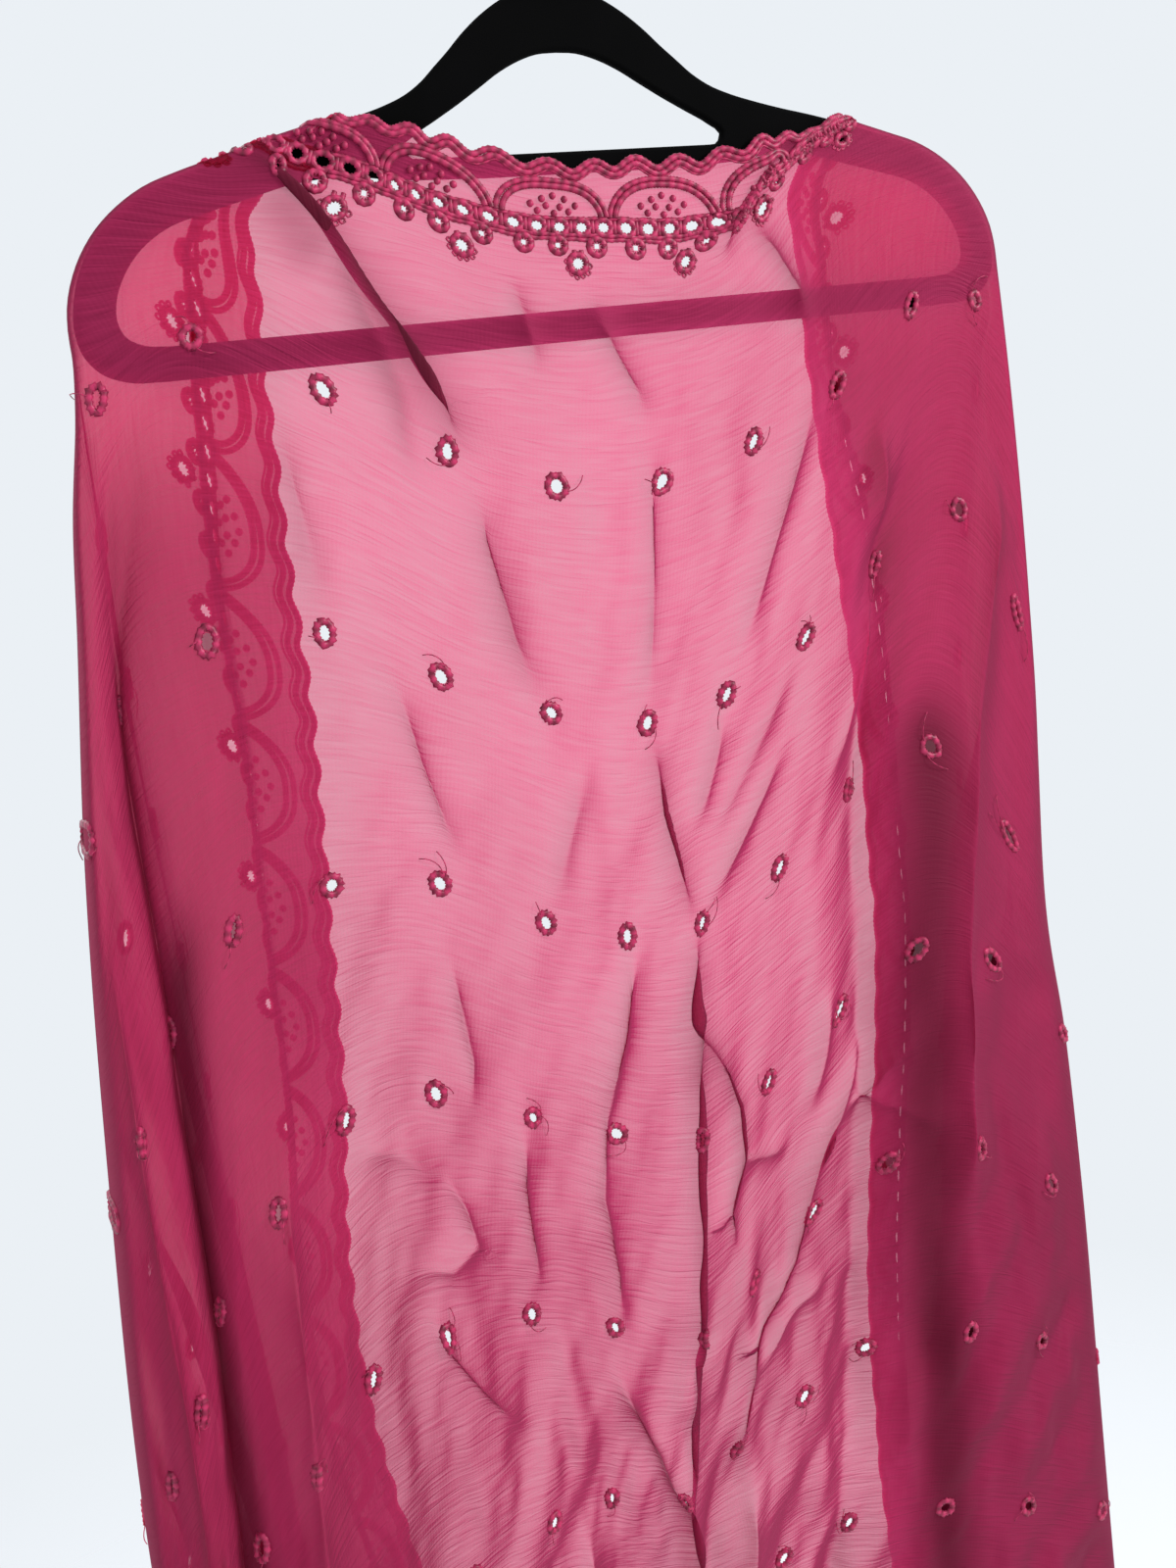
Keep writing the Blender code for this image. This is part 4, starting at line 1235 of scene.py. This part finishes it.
@dataclass
class ClothStretch:
    """One stretch of the panel as a thin sheet that follows its drape."""

    drape: Drape
    openings: CutWork
    stretch: Stretch

    def line(self, t: float) -> Array:
        """Gives the mesh places along one line.

        Args:
            t: the line's place across the width, mm.

        Returns:
            Signed s from the (left) fold line on.
        """
        cell, radius = self.openings.cell, float(self.drape.turn_radius(t))
        turn, clear = np.array(TURN) * radius, radius + CLEAR_OF_TURN
        if self.stretch is Stretch.FRONT:
            left, right = (float(end) for end in self.drape.span(self.stretch, t))
            grid = cell * np.arange(math.ceil((left + clear) / cell), math.floor((right - clear) / cell) + 1)
            return np.concatenate([left + turn, grid, right - turn[::-1]])
        start, end = abs(float(self.drape.fold_s(self.stretch.side, t))), self.drape.half_length
        grid = cell * np.arange(math.ceil((start + clear) / cell), math.floor((end - 1.0) / cell) + 1)
        return self.stretch.side * np.concatenate([start + turn, grid, [end]])

    def rows(self) -> list[tuple[Array, Array]]:
        """Lays out every mesh line, the corded edge's scallops first.

        Returns:
            s and t of each line's points, mm.
        """
        top = self.line(0.0)
        wave = self.drape.scallop(top)
        found = [(top, wave * (1.0 - 0.75 * share) + below) for share, below in CORD_LINES]
        return found + [(self.line(t), np.full(len(self.line(t)), t)) for t in self.openings.lines()]

    def zipped(self, upper: Array, lower: Array, first_upper: int, first_lower: int) -> Faces:
        """Joins two neighbouring lines with quads, and triangles where one has more points.

        Args:
            upper: growing distances along the upper line.
            lower: growing distances along the lower line.
            first_upper: number of the upper line's first point.
            first_lower: number of the lower line's first point.

        Returns:
            The faces.
        """
        faces, i, j = [], 0, 0
        while i < len(upper) - 1 or j < len(lower) - 1:
            a, b = first_upper + i, first_lower + j
            more_upper, more_lower = i < len(upper) - 1, j < len(lower) - 1
            if more_upper and more_lower and abs(upper[i + 1] - lower[j + 1]) < LEVEL_WITH:
                faces.append((a, b, b + 1, a + 1))
                i, j = i + 1, j + 1
            elif more_upper and (not more_lower or upper[i + 1] < lower[j + 1]):
                faces.append((a, b, a + 1))
                i += 1
            else:
                faces.append((a, b, b + 1))
                j += 1
        return faces

    def faces_between(self, upper: Array, lower: Array, first_upper: int, first_lower: int) -> Faces:
        """Joins two lines: turn to turn beside the fold lines, and by distance between them.

        Args:
            upper: signed s along the upper line.
            lower: signed s along the lower line.
            first_upper: number of the upper line's first point.
            first_lower: number of the lower line's first point.

        Returns:
            The faces, looking outwards.
        """
        turn = len(TURN) - 1
        tail = turn if self.stretch is Stretch.FRONT else 0
        end_up, end_low = len(upper) - tail, len(lower) - tail
        up, low = np.abs(upper - upper[0]), np.abs(lower - lower[0])
        shift = (upper[0] - lower[0]) * (-1 if self.stretch is Stretch.LEFT_END else 1)
        near, far = (
            [(a + i, b + i, b + i + 1, a + i + 1) for i in range(count)]
            for a, b, count in (
                (first_upper, first_lower, turn), (first_upper + end_up - 1, first_lower + end_low - 1, tail)
            )
        )
        upper_inside, lower_inside = up[turn:end_up] + shift, low[turn:end_low]
        between = self.zipped(upper_inside, lower_inside, first_upper + turn, first_lower + turn)
        faces = near + between + far
        if self.stretch is Stretch.LEFT_END:
            return [tuple(reversed(face)) for face in faces]
        return faces

    def build(self, material: bpy.types.Material) -> bpy.types.Object:
        """Builds the sheet.

        Args:
            material: the cloth's finish.

        Returns:
            The piece.
        """
        rows = self.rows()
        starts = [0, *np.cumsum([len(s) for s, _ in rows]).tolist()]
        faces: Faces = []
        for (upper, _), (lower, _), *firsts in zip(rows, rows[1:], starts, starts[1:]):
            faces += self.faces_between(upper, lower, *firsts)
        s, t = (np.concatenate([row[part] for row in rows]) for part in (0, 1))
        middles = (np.array([sum(at[c] for c in face) / len(face) for face in faces]) for at in (s, t))
        cut = self.openings.is_open(*middles)
        s, t = self.openings.rounded(s, t)
        draft = Draft()
        kept = [face for face, gone in zip(faces, cut) if not gone]
        draft.add(self.drape.place(self.stretch, s, t), kept, np.stack([s, t], axis=1))
        item = draft.piece(f"{self.stretch.value}_chiffon", material, self.stretch.slot)
        self.paint_gathered_shade(item, s, t)
        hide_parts(self.stretch.value)
        return item

    def paint_gathered_shade(self, item: bpy.types.Object, s: Array, t: Array) -> None:
        """Marks how far each point is painted dark and dense, as if the cloth were drawn together there.

        The front darkens a little towards the hem, with random patches, and along its creases and bands of
        painted shade.
        An end is painted dark below the arm, darker still in a streak along its upper part, and the strip
        beside the right end's inner edge stays lighter.
        The denser cover stands in for layers of cloth that are not built; the darker colour is painted shade.

        Args:
            item: the sheet's piece.
            s: signed places of its points along the length, mm.
            t: their places across the width, mm.
        """
        places = np.zeros(len(item.data.vertices) * 3)
        item.data.vertices.foreach_get("co", places)
        below = -(places[2::3] * 1000.0 + HOOK_SEAT)
        if self.stretch is Stretch.FRONT:
            # painted shade: darker towards the hem and along creases and bands; the noise is random tone
            bunched_shade = 0.24 * ease((t - 260.0) / 320.0) + 0.05 * Unevenness(21, 60.0, 120.0).at(s, t)
            for crease in (*CREASES, *SHADE_BANDS):
                off, taper, _, _ = crease.beside(s, t)
                bunched_shade = np.maximum(bunched_shade, crease.closed * taper * bell(off, crease.half_width))
        else:
            usual = END_SHAPES[self.stretch.side].shade_bunching
            bunched_shade = usual.upper + (usual.lower - usual.upper) * ease((below - 270.0) / 100.0)
            # painted shade: a darker streak along the upper part of each end, a little below the arm
            shade_streak = 0.16 * ease((210.0 - t) / 90.0) * ease((below - 120.0) / 160.0)
            bunched_shade = bunched_shade + shade_streak + 0.08 * Unevenness(22, 90.0, 30.0).at(s, t)
            # less painted shade on the strip beside the right end's inner edge
            if self.stretch is Stretch.RIGHT_END:
                bunched_shade = bunched_shade * (1.0 - 0.6 * ease((60.0 - t) / 40.0) * ease((below - 130.0) / 60.0))
            bunched_shade = bunched_shade * ease((below + usual.above) / 100.0)
        layer = item.data.attributes.new(GATHERED_SHADE, "FLOAT", "POINT")
        layer.data.foreach_set("value", np.clip(bunched_shade, 0.0, 1.0).astype(np.float32))

    def flat_size(self) -> tuple[tuple[float, float], float]:
        """Measures the stretch as it would be cut.

        Returns:
            Its width and greatest length in metres, and its area in square metres.
        """
        low, high = self.drape.span(self.stretch, np.linspace(0.0, self.drape.width, 200))
        width, length = self.drape.width / 1000.0, (high - low) / 1000.0
        return (width, float(length.max())), float(length.mean()) * width


# ---------------------------------------------------------------- the thread work
def twisted(count: int, share: float) -> Array:
    """Gives a strand's thickness at each stitch: thick and thin by turns, by a share of its half."""
    return 1.0 + share * np.cos(math.pi * np.arange(count))


@dataclass
class ThreadWork:
    """Thread work on the panel, built one stretch at a time."""

    drape: Drape
    openings: CutWork

    def work(self, stretch: Stretch, draft: Draft) -> None:
        """Works the strands of one stretch into the draft.

        Args:
            stretch: where it lies.
            draft: where the strands go.
        """
        raise NotImplementedError

    def build(self, stretch: Stretch, name: str, material: bpy.types.Material) -> bpy.types.Object:
        """Builds the work of one stretch.

        Args:
            stretch: where it lies.
            name: what it is called on any stretch.
            material: the thread's finish.

        Returns:
            The piece.
        """
        draft = Draft()
        self.work(stretch, draft)
        return draft.piece(f"{stretch.value}_{name}", material, stretch.slot)


@dataclass
class CordedEdge(ThreadWork):
    """The scalloped cord of two satin ribs and a fine one, and the rolled hem on the other edges."""

    step: float = 0.9
    middle: float = 2.9  # from the edge's mean line to the middle of the cord
    ribs: Table = ((-1.55, 1.45), (1.35, 1.4), (3.1, 0.55))  # off the cord's middle, half thickness
    hem_radius: float = 1.0

    def work(self, stretch: Stretch, draft: Draft) -> None:
        """Works the cord and hem of one stretch into the draft.

        Args:
            stretch: where it lies.
            draft: where the strands go.
        """
        strands = Stitcher(self.drape).strands
        s = self.drape.run(stretch, 0.0, self.step)
        wave = self.drape.scallop(s)
        lean = np.gradient(wave, s)
        for offset, radius in self.ribs:
            off = offset / np.sqrt(1.0 + lean * lean)
            down = wave + self.middle + off
            strands(draft, (s - off * lean)[None, :], down[None, :], radius * twisted(len(s), 0.12), 7, 0.85)
        bottom = self.drape.width
        hem = self.drape.run(stretch, bottom, 3.0)
        strands(draft, hem[None, :], bottom, self.hem_radius, 5)
        if stretch is not Stretch.FRONT:
            t = np.linspace(2.0, bottom, 320)[None, :]
            s = np.full(t.shape, stretch.side * (self.drape.half_length - 0.3))
            strands(draft, s, t, self.hem_radius, 5)


@dataclass
class Border(ThreadWork):
    """The embroidered border: arches with knots, a ladder of openings, small rings and pendants."""

    arch_half: float = 23.5
    arch_height: float = 16.5
    arch_foot: float = 28.4
    arch_lines: Table = ((0.0, 1.5), (2.7, 1.35))  # how far out, half thickness
    knots: Table = (
        (0, 17.2), (-5.2, 19.2), (5.6, 18.8), (-10.6, 22.4), (10.8, 22.2), (-3.4, 22.6), (3.2, 23.0),
        (-7.6, 25.6), (7.4, 25.4), (0.2, 26.4),
    )
    guides: Table = ((28.9, 0.95), (37.0, 1.2), (38.9, 1.1))  # t of the running lines, half thickness
    picots: tuple[float, ...] = (8, 38, 68, 98, 128, 158, 188)  # degrees round a pendant
    picot_reach: float = 5.6

    def repeats(self, stretch: Stretch, shift: float, t: float) -> Array:
        """Finds the repeats of the border that lie on a stretch.

        Args:
            stretch: the stretch asked about.
            shift: place within the repeat, mm along s.
            t: place across the width, mm.

        Returns:
            s of each.
        """
        s = self.openings.columns(beyond=1) + shift
        s = s[np.abs(s) < self.drape.half_length - 4.0]
        return s[self.drape.belongs(stretch, s, np.full(len(s), t))]

    def rings(
        self, draft: Draft, at_s: Array, t: float, size: float, radius: float, steps: int, picot: float = 0.0
    ) -> None:
        """Works a ring of buttonhole stitch round openings in a row.

        Args:
            draft: where the rings go.
            at_s: their middles along the length, mm.
            t: their middle across the width, mm.
            size: from the middle to the middle of the strand, mm.
            radius: half the strand's thickness, mm.
            steps: stitches in a ring.
            picot: how far every other stitch reaches out, mm.
        """
        angle = FULL_TURN * np.arange(steps) / steps
        uneven = np.random.RandomState(int(t * 10) + steps).uniform(-1.0, 1.0, (len(at_s), 3))
        reach = size * (1.0 + 0.06 * uneven[:, 2:]) + picot * (np.arange(steps) % 2)[None, :]
        s = at_s[:, None] + 0.3 * uneven[:, :1] + reach * np.cos(angle)
        down = t + 0.3 * uneven[:, 1:2] + reach * np.sin(angle)
        Stitcher(self.drape).strands(draft, s, down, radius * twisted(steps, 0.18), 6, 0.8, closed=True)

    def arches(self, stretch: Stretch, draft: Draft) -> None:
        """Works the double arches and the knots under them.

        Args:
            stretch: where it lies.
            draft: where the strands go.
        """
        strands = Stitcher(self.drape).strands
        across = self.arch_half * np.sin(np.linspace(-math.pi / 2, math.pi / 2, 96))
        rounding = (1.0 - np.abs(across / self.arch_half) ** 2.5) ** 0.6
        for reach, radius in self.arch_lines:
            wide, high = 1.0 + reach / self.arch_half, 1.0 + reach / self.arch_height
            s = self.repeats(stretch, 0.0, 15.0)[:, None] + wide * across
            down = self.arch_foot - self.arch_height * high * rounding
            strands(draft, s, down, radius * twisted(len(across), 0.12), 6, 0.85, 0.3)
        run = np.linspace(-1.5, 1.5, 6)
        swell = 1.6 * np.sqrt(1.05 - (run / 1.5) ** 2)
        for shift, t in self.knots:
            strands(draft, self.repeats(stretch, shift, t)[:, None] + run, t + 0.3 * run, swell, 6, 0.9, 0.5)

    def work(self, stretch: Stretch, draft: Draft) -> None:
        """Works the border of one stretch into the draft.

        Args:
            stretch: where it lies.
            draft: where the strands go.
        """
        strands = Stitcher(self.drape).strands
        self.arches(stretch, draft)
        ladder, second, pendant = self.openings.ladder, self.openings.second, self.openings.pendant
        bar = np.linspace(ladder.top - 0.6, ladder.bottom + 0.6, 8)
        for shift in ladder.first + ladder.pitch * np.arange(5):
            self.rings(draft, self.repeats(stretch, shift, ladder.middle), ladder.middle, 3.85, 1.45, 20)
            at_s = self.repeats(stretch, shift + ladder.pitch / 2, ladder.middle)[:, None]
            strands(draft, at_s + 0.0 * bar, bar, 1.25, 5, 0.8)
        for shift in second.first + second.pitch * np.arange(3):
            self.rings(draft, self.repeats(stretch, shift, second.middle), second.middle, 3.2, 1.6, 22, 0.8)
        drops = self.repeats(stretch, pendant.first, pendant.middle)
        self.rings(draft, drops, pendant.middle, 3.7, 1.5, 26, 0.7)
        stem = np.linspace(second.bottom + 0.5, pendant.top - 0.8, 6)
        for shift in (-1.7, 1.7):
            strands(draft, drops[:, None] + shift + 0.0 * stem, stem, 1.2, 5, 0.8)
        for angle in np.radians(self.picots):
            t = pendant.middle + self.picot_reach * math.sin(angle)
            self.rings(draft, drops + self.picot_reach * math.cos(angle), t, 0.95, 0.55, 8)
        line = self.drape.run(stretch, 0.0, 1.3)
        for t, radius in self.guides:
            wander = t + 0.25 * np.sin(line / 1.9)
            strands(draft, line[None, :], wander[None, :], radius * twisted(len(line), 0.14), 5, 0.8)


@dataclass
class Eyelets(ThreadWork):
    """Round buttonholed eyelets scattered in rows, with loose thread tails."""

    ring: float = 4.3  # middle of the strand
    strand: float = 1.6
    stitches: int = 30
    tail_radius: float = 0.24
    tail_shares: tuple[float, ...] = (0.75, 0.4)  # eyelets that have a first and a second tail
    tail_lengths: tuple[float, float] = (4.0, 11.0)

    def places(self, stretch: Stretch) -> tuple[Array, Array]:
        """Finds the eyelets on a stretch.

        Args:
            stretch: the stretch asked about.

        Returns:
            s and t of each, mm.
        """
        s, t = (grid.ravel() for grid in np.meshgrid(self.openings.columns(), self.openings.rows()))
        mine = self.drape.belongs(stretch, s, t) & (np.abs(s) < self.drape.half_length - 8.0)
        return s[mine], t[mine]

    def work(self, stretch: Stretch, draft: Draft) -> None:
        """Works the eyelets of one stretch and their tails into the draft.

        Args:
            stretch: where it lies.
            draft: where the strands go.
        """
        strands = Stitcher(self.drape).strands
        at_s, at_t = (places[:, None] for places in self.places(stretch))
        dice = np.random.RandomState(100 + len(at_s))
        angle = FULL_TURN * np.arange(self.stitches) / self.stitches
        ragged = dice.uniform(-1.0, 1.0, (len(at_s), self.stitches))
        reach = self.ring * (1.0 + 0.07 * dice.uniform(-1.0, 1.0, at_s.shape)) + 0.22 * ragged
        s = at_s + reach * np.cos(angle)
        t = at_t + reach * np.sin(angle) * (1.0 + 0.1 * dice.uniform(-1.0, 1.0, at_s.shape))
        thick = self.strand * (twisted(self.stitches, 0.2) + 0.1 * ragged)
        strands(draft, s, t, thick, 6, 0.75, closed=True)
        run = np.linspace(0.0, 1.0, 8)
        for share in self.tail_shares:
            tailed = dice.uniform(0.0, 1.0, len(at_s)) < share
            start = dice.uniform(0.0, FULL_TURN, at_s.shape)
            bend = dice.uniform(-1.6, 1.6, at_s.shape)
            length = dice.uniform(*self.tail_lengths, at_s.shape)
            turn, out = start + bend * run, self.ring + length * run
            rise = 0.6 + 1.6 * np.sin(math.pi * run) + 0.0 * turn
            s, t = at_s + out * np.cos(turn), at_t + out * np.sin(turn)
            strands(draft, s[tailed], t[tailed], self.tail_radius, 4, 1.0, rise[tailed])


# ---------------------------------------------------------------- the hanger
# Half outlines of the hanger from the neck out: x, z in mm.
HANGER_OUTER = (
    (0, 149), (12, 147), (23, 142.5), (34, 136), (43, 129), (50, 122.5), (57, 116.5), (64, 110.5),
    (72, 105.5), (82, 101.5), (94, 98), (108, 94.5), (124, 91), (140, 87), (156, 82.5), (172, 78),
    (184, 73.8), (196, 66.8), (206, 58), (214, 47), (219.5, 34), (221.5, 22), (220, 13), (214.5, 5.5),
    (205, 1.2), (190, 0),
)
HANGER_LOOP = (
    (40, 71), (82, 72.5), (100, 74.5), (124, 73), (145, 68), (163, 63.5), (178, 59), (190, 51.5),
    (198.5, 42), (203.5, 32), (204.5, 24), (202.5, 18.5), (197, 15), (186, 13.5),
)
HANGER_NECK = (
    (0, 121), (9, 120.5), (18, 118), (28, 113.5), (38, 107.5), (49, 101), (60, 95), (70, 89.5), (76, 84.5),
    (74, 81), (66, 80),
)
HOOK_SHANK = ((0.0, 149.0), (0.0, 153.0), (0.0, 158.0), (0.6, 163.0), (3.0, 168.5))


@dataclass
class Hanger:
    """The flocked plate with its neck arch, crossbar and bottom bar, and its bent wire hook."""

    half_thickness: float = 2.5
    edge_radius: float = 1.9
    outline_step: float = 3.0
    wire_radius: float = 1.8
    wire_tip: tuple[float, float] = (0.92, 0.6)  # how the wire's end is rounded off
    wire_sides: int = 18
    hook_radius: float = 21.0
    hook_bend: tuple[float, float] = (-58.0, 200.0)  # degrees

    def outline(self, half: Table) -> Array:
        """Mirrors and smooths half an outline.

        Args:
            half: x, z of its right half, from the top round to the bottom, mm.

        Returns:
            The closed outline, N x 2.
        """
        path = np.array(half, float)
        run = np.concatenate([[0.0], np.cumsum(np.linalg.norm(np.diff(path, axis=0), axis=1))])
        where = np.linspace(0.0, run[-1], int(run[-1] / self.outline_step))
        right = np.stack([through(run, path[:, axis], where) for axis in (0, 1)], axis=1)
        left = right[::-1] * (-1.0, 1.0)
        return np.concatenate([right, left[left[:, 0] < -0.01]])

    def moved_in(self, outline: Array, distance: float) -> Array:
        """Moves a closed outline to the left of its direction of travel.

        Args:
            outline: its corners, N x 2, mm.
            distance: how far it moves, mm.

        Returns:
            The moved corners.
        """
        heading = np.roll(outline, -1, axis=0) - np.roll(outline, 1, axis=0)
        heading /= np.linalg.norm(heading, axis=1, keepdims=True)
        return outline + distance * np.stack([-heading[:, 1], heading[:, 0]], axis=1)

    def plate(self, material: bpy.types.Material) -> bpy.types.Object:
        """Builds the flocked plate with rounded edges.

        Args:
            material: its flock.

        Returns:
            The piece.
        """
        draft, caps = Draft(), ([], [])
        levels = [
            (self.edge_radius * (1 - math.sin(a)), self.edge_radius * (1 - math.cos(a)) - self.half_thickness)
            for a in np.linspace(0.0, math.pi / 2, 5)
        ]
        levels += [(inset, -y) for inset, y in reversed(levels)]
        for rim in (self.outline(HANGER_OUTER)[::-1], self.outline(HANGER_LOOP), self.outline(HANGER_NECK)):
            count = len(rim)
            rings = [np.insert(self.moved_in(rim, inset), 1, y, axis=1) for inset, y in levels]
            faces = []
            for start in range(0, count * (len(levels) - 1), count):
                for i in range(count):
                    a, b = start + i, start + (i + 1) % count
                    faces.append((a, a + count, b + count, b))
            points = np.concatenate(rings)
            draft.add(points, faces, points[:, [0, 2]])
            for cap, ring in zip(caps, (rings[0], rings[-1])):
                cap.append(ring)
        for rings, front in zip(caps, (True, False)):
            points = np.concatenate(rings)
            faces = []
            for a, b, c in tessellate_polygon([[Vector((p[0], p[2], 0.0)) for p in ring] for ring in rings]):
                towards = np.cross(points[b] - points[a], points[c] - points[a])[1]
                faces.append((a, b, c) if (towards < 0) == front else (a, c, b))
            draft.add(points, faces, points[:, [0, 2]])
        item = draft.piece("flocked_hanger_body", material, "black_flock")
        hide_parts("hanger_frame")
        return item

    def hook(self, material: bpy.types.Material) -> bpy.types.Object:
        """Builds the wire hook.

        Args:
            material: its plated wire.

        Returns:
            The piece.
        """
        bend = np.radians(np.linspace(*self.hook_bend, 40))
        loop = self.hook_radius * np.stack([np.cos(bend), np.sin(bend)], axis=1)
        path = np.concatenate([HOOK_SHANK, loop + (0.0, HOOK_SEAT - self.hook_radius + self.wire_radius)])
        heading = np.gradient(path, axis=0)
        heading /= np.linalg.norm(heading, axis=1, keepdims=True)
        angle = FULL_TURN * np.arange(self.wire_sides) / self.wire_sides
        radius = np.full((len(path), 1), self.wire_radius)
        radius[-2:, 0] *= self.wire_tip
        across = np.cos(angle) * radius
        x, z = path[:, :1] + heading[:, 1:] * across, path[:, 1:] - heading[:, :1] * across
        points = np.stack([x, np.sin(angle) * radius, z], axis=-1).reshape(-1, 3)
        draft = Draft()
        draft.add(points, tube_faces(len(path), self.wire_sides), points[:, [0, 2]])
        item = draft.piece("wire_hook", material, "hook_steel")
        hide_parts("hanger_hook")
        return item


# ---------------------------------------------------------------- the stole
@dataclass
class Stole:
    """The whole panel: cloth, corded edge, border and eyelets on each stretch."""

    drape: Drape = Drape()
    chiffon: CrinkleChiffon = CrinkleChiffon()
    thread: RayonThread = RayonThread()
    # the lit and deep colours of this thread are painted highlight and painted shade too
    wrong_side: RayonThread = RayonThread(
        "rayon_thread_wrong_side", lit="#b8305f", deep="#94204a", glow=0.5, clear=0.78
    )

    def build(self) -> list[bpy.types.Object]:
        """Builds every stretch.

        Returns:
            The pieces: each sheet with its trims.
        """
        pieces = []
        openings = CutWork(self.drape)
        cloth_finish, right_side, wrong_side = (
            finish.material() for finish in (self.chiffon, self.thread, self.wrong_side)
        )
        works = {"corded_edge": CordedEdge, "border": Border, "eyelets": Eyelets}
        for stretch in Stretch:
            thread_finish = wrong_side if stretch.side else right_side
            cloth = ClothStretch(self.drape, openings, stretch)
            sheet = cloth.build(cloth_finish)
            trims = [
                kind(self.drape, openings).build(stretch, name, thread_finish) for name, kind in works.items()
            ]
            flat, area = cloth.flat_size()
            pieces += [sheet, *trims]
        return pieces


# ---------------------------------------------------------------- the studio
@dataclass
class Studio:
    """Pale floor, soft light and the camera."""

    floor_z: float = -1.5
    floor_paint: FadedFloor = FadedFloor()
    floor_corners: int = 96
    wall_white: str = "#ebf0f5"
    lit_place: tuple[float, float, float] = (0.0, 0.0, -0.55)  # what every lamp looks at
    focal_mm: float = 33.75  # on a 36 mm sensor along the long side
    camera_place: tuple[float, float, float] = (-0.27871, -0.63105, -0.27621)
    camera_turn: tuple[float, float, float] = (78.5579, 7.7633, -22.8811)  # degrees

    def lights(self) -> None:
        """Adds a large key lamp, a fill, a back lamp and the pale surroundings."""
        world = bpy.data.worlds.new("pale_surroundings")
        bpy.context.scene.world = world
        world.use_nodes = True
        world.node_tree.nodes["Background"].inputs["Color"].default_value = linear(self.wall_white)
        for name, place, size, watts in (
            ("key", (1.9, -1.5, 0.75), 0.7, 62.0),
            ("fill", (-1.6, -1.4, 0.3), 1.4, 5.0),
            ("back", (-0.9, 1.9, 0.7), 1.2, 12.0),
        ):
            data = bpy.data.lights.new(name, "AREA")
            data.size, data.energy = size, watts
            lamp = bpy.data.objects.new(name, data)
            lamp.location = place
            lamp.rotation_euler = (Vector(self.lit_place) - Vector(place)).to_track_quat("-Z", "Y").to_euler()
            bpy.context.scene.collection.objects.link(lamp)

    def floor(self) -> None:
        """Adds the pale floor, a disc whose rim fades into the surroundings."""
        around = np.linspace(0.0, FULL_TURN, self.floor_corners, endpoint=False)
        rim = self.floor_paint.radius * np.stack([np.cos(around), np.sin(around), 0.0 * around], axis=1)
        mesh = bpy.data.meshes.new("studio_floor")
        mesh.from_pydata(rim, [], [tuple(range(self.floor_corners))])
        mesh.materials.append(self.floor_paint.material())
        item = bpy.data.objects.new("studio_floor", mesh)
        item.location = (0.0, 0.0, self.floor_z)
        bpy.context.scene.collection.objects.link(item)

    def camera(self) -> None:
        """Adds the camera."""
        data = bpy.data.cameras.new("camera")
        data.sensor_width, data.lens = 36.0, self.focal_mm
        item = bpy.data.objects.new("camera", data)
        item.location = self.camera_place
        item.rotation_euler = Euler([math.radians(angle) for angle in self.camera_turn])
        bpy.context.scene.collection.objects.link(item)
        bpy.context.scene.camera = item
        bpy.context.scene.view_settings.view_transform = "Standard"


def main() -> None:
    """Builds the studio, the hanger and the stole."""
    logging.basicConfig(level=logging.INFO, format="%(message)s")
    studio = Studio()
    studio.camera()
    studio.floor()
    studio.lights()
    hanger = Hanger()
    pieces = [
        hanger.plate(NylonFlock().material()),
        hanger.hook(PlatedWire().material()),
        *Stole().build(),
    ]
    for item in pieces:
        LOG.info("%s: %d faces", item.name, len(item.data.polygons))


if __name__ == "__main__":
    main()
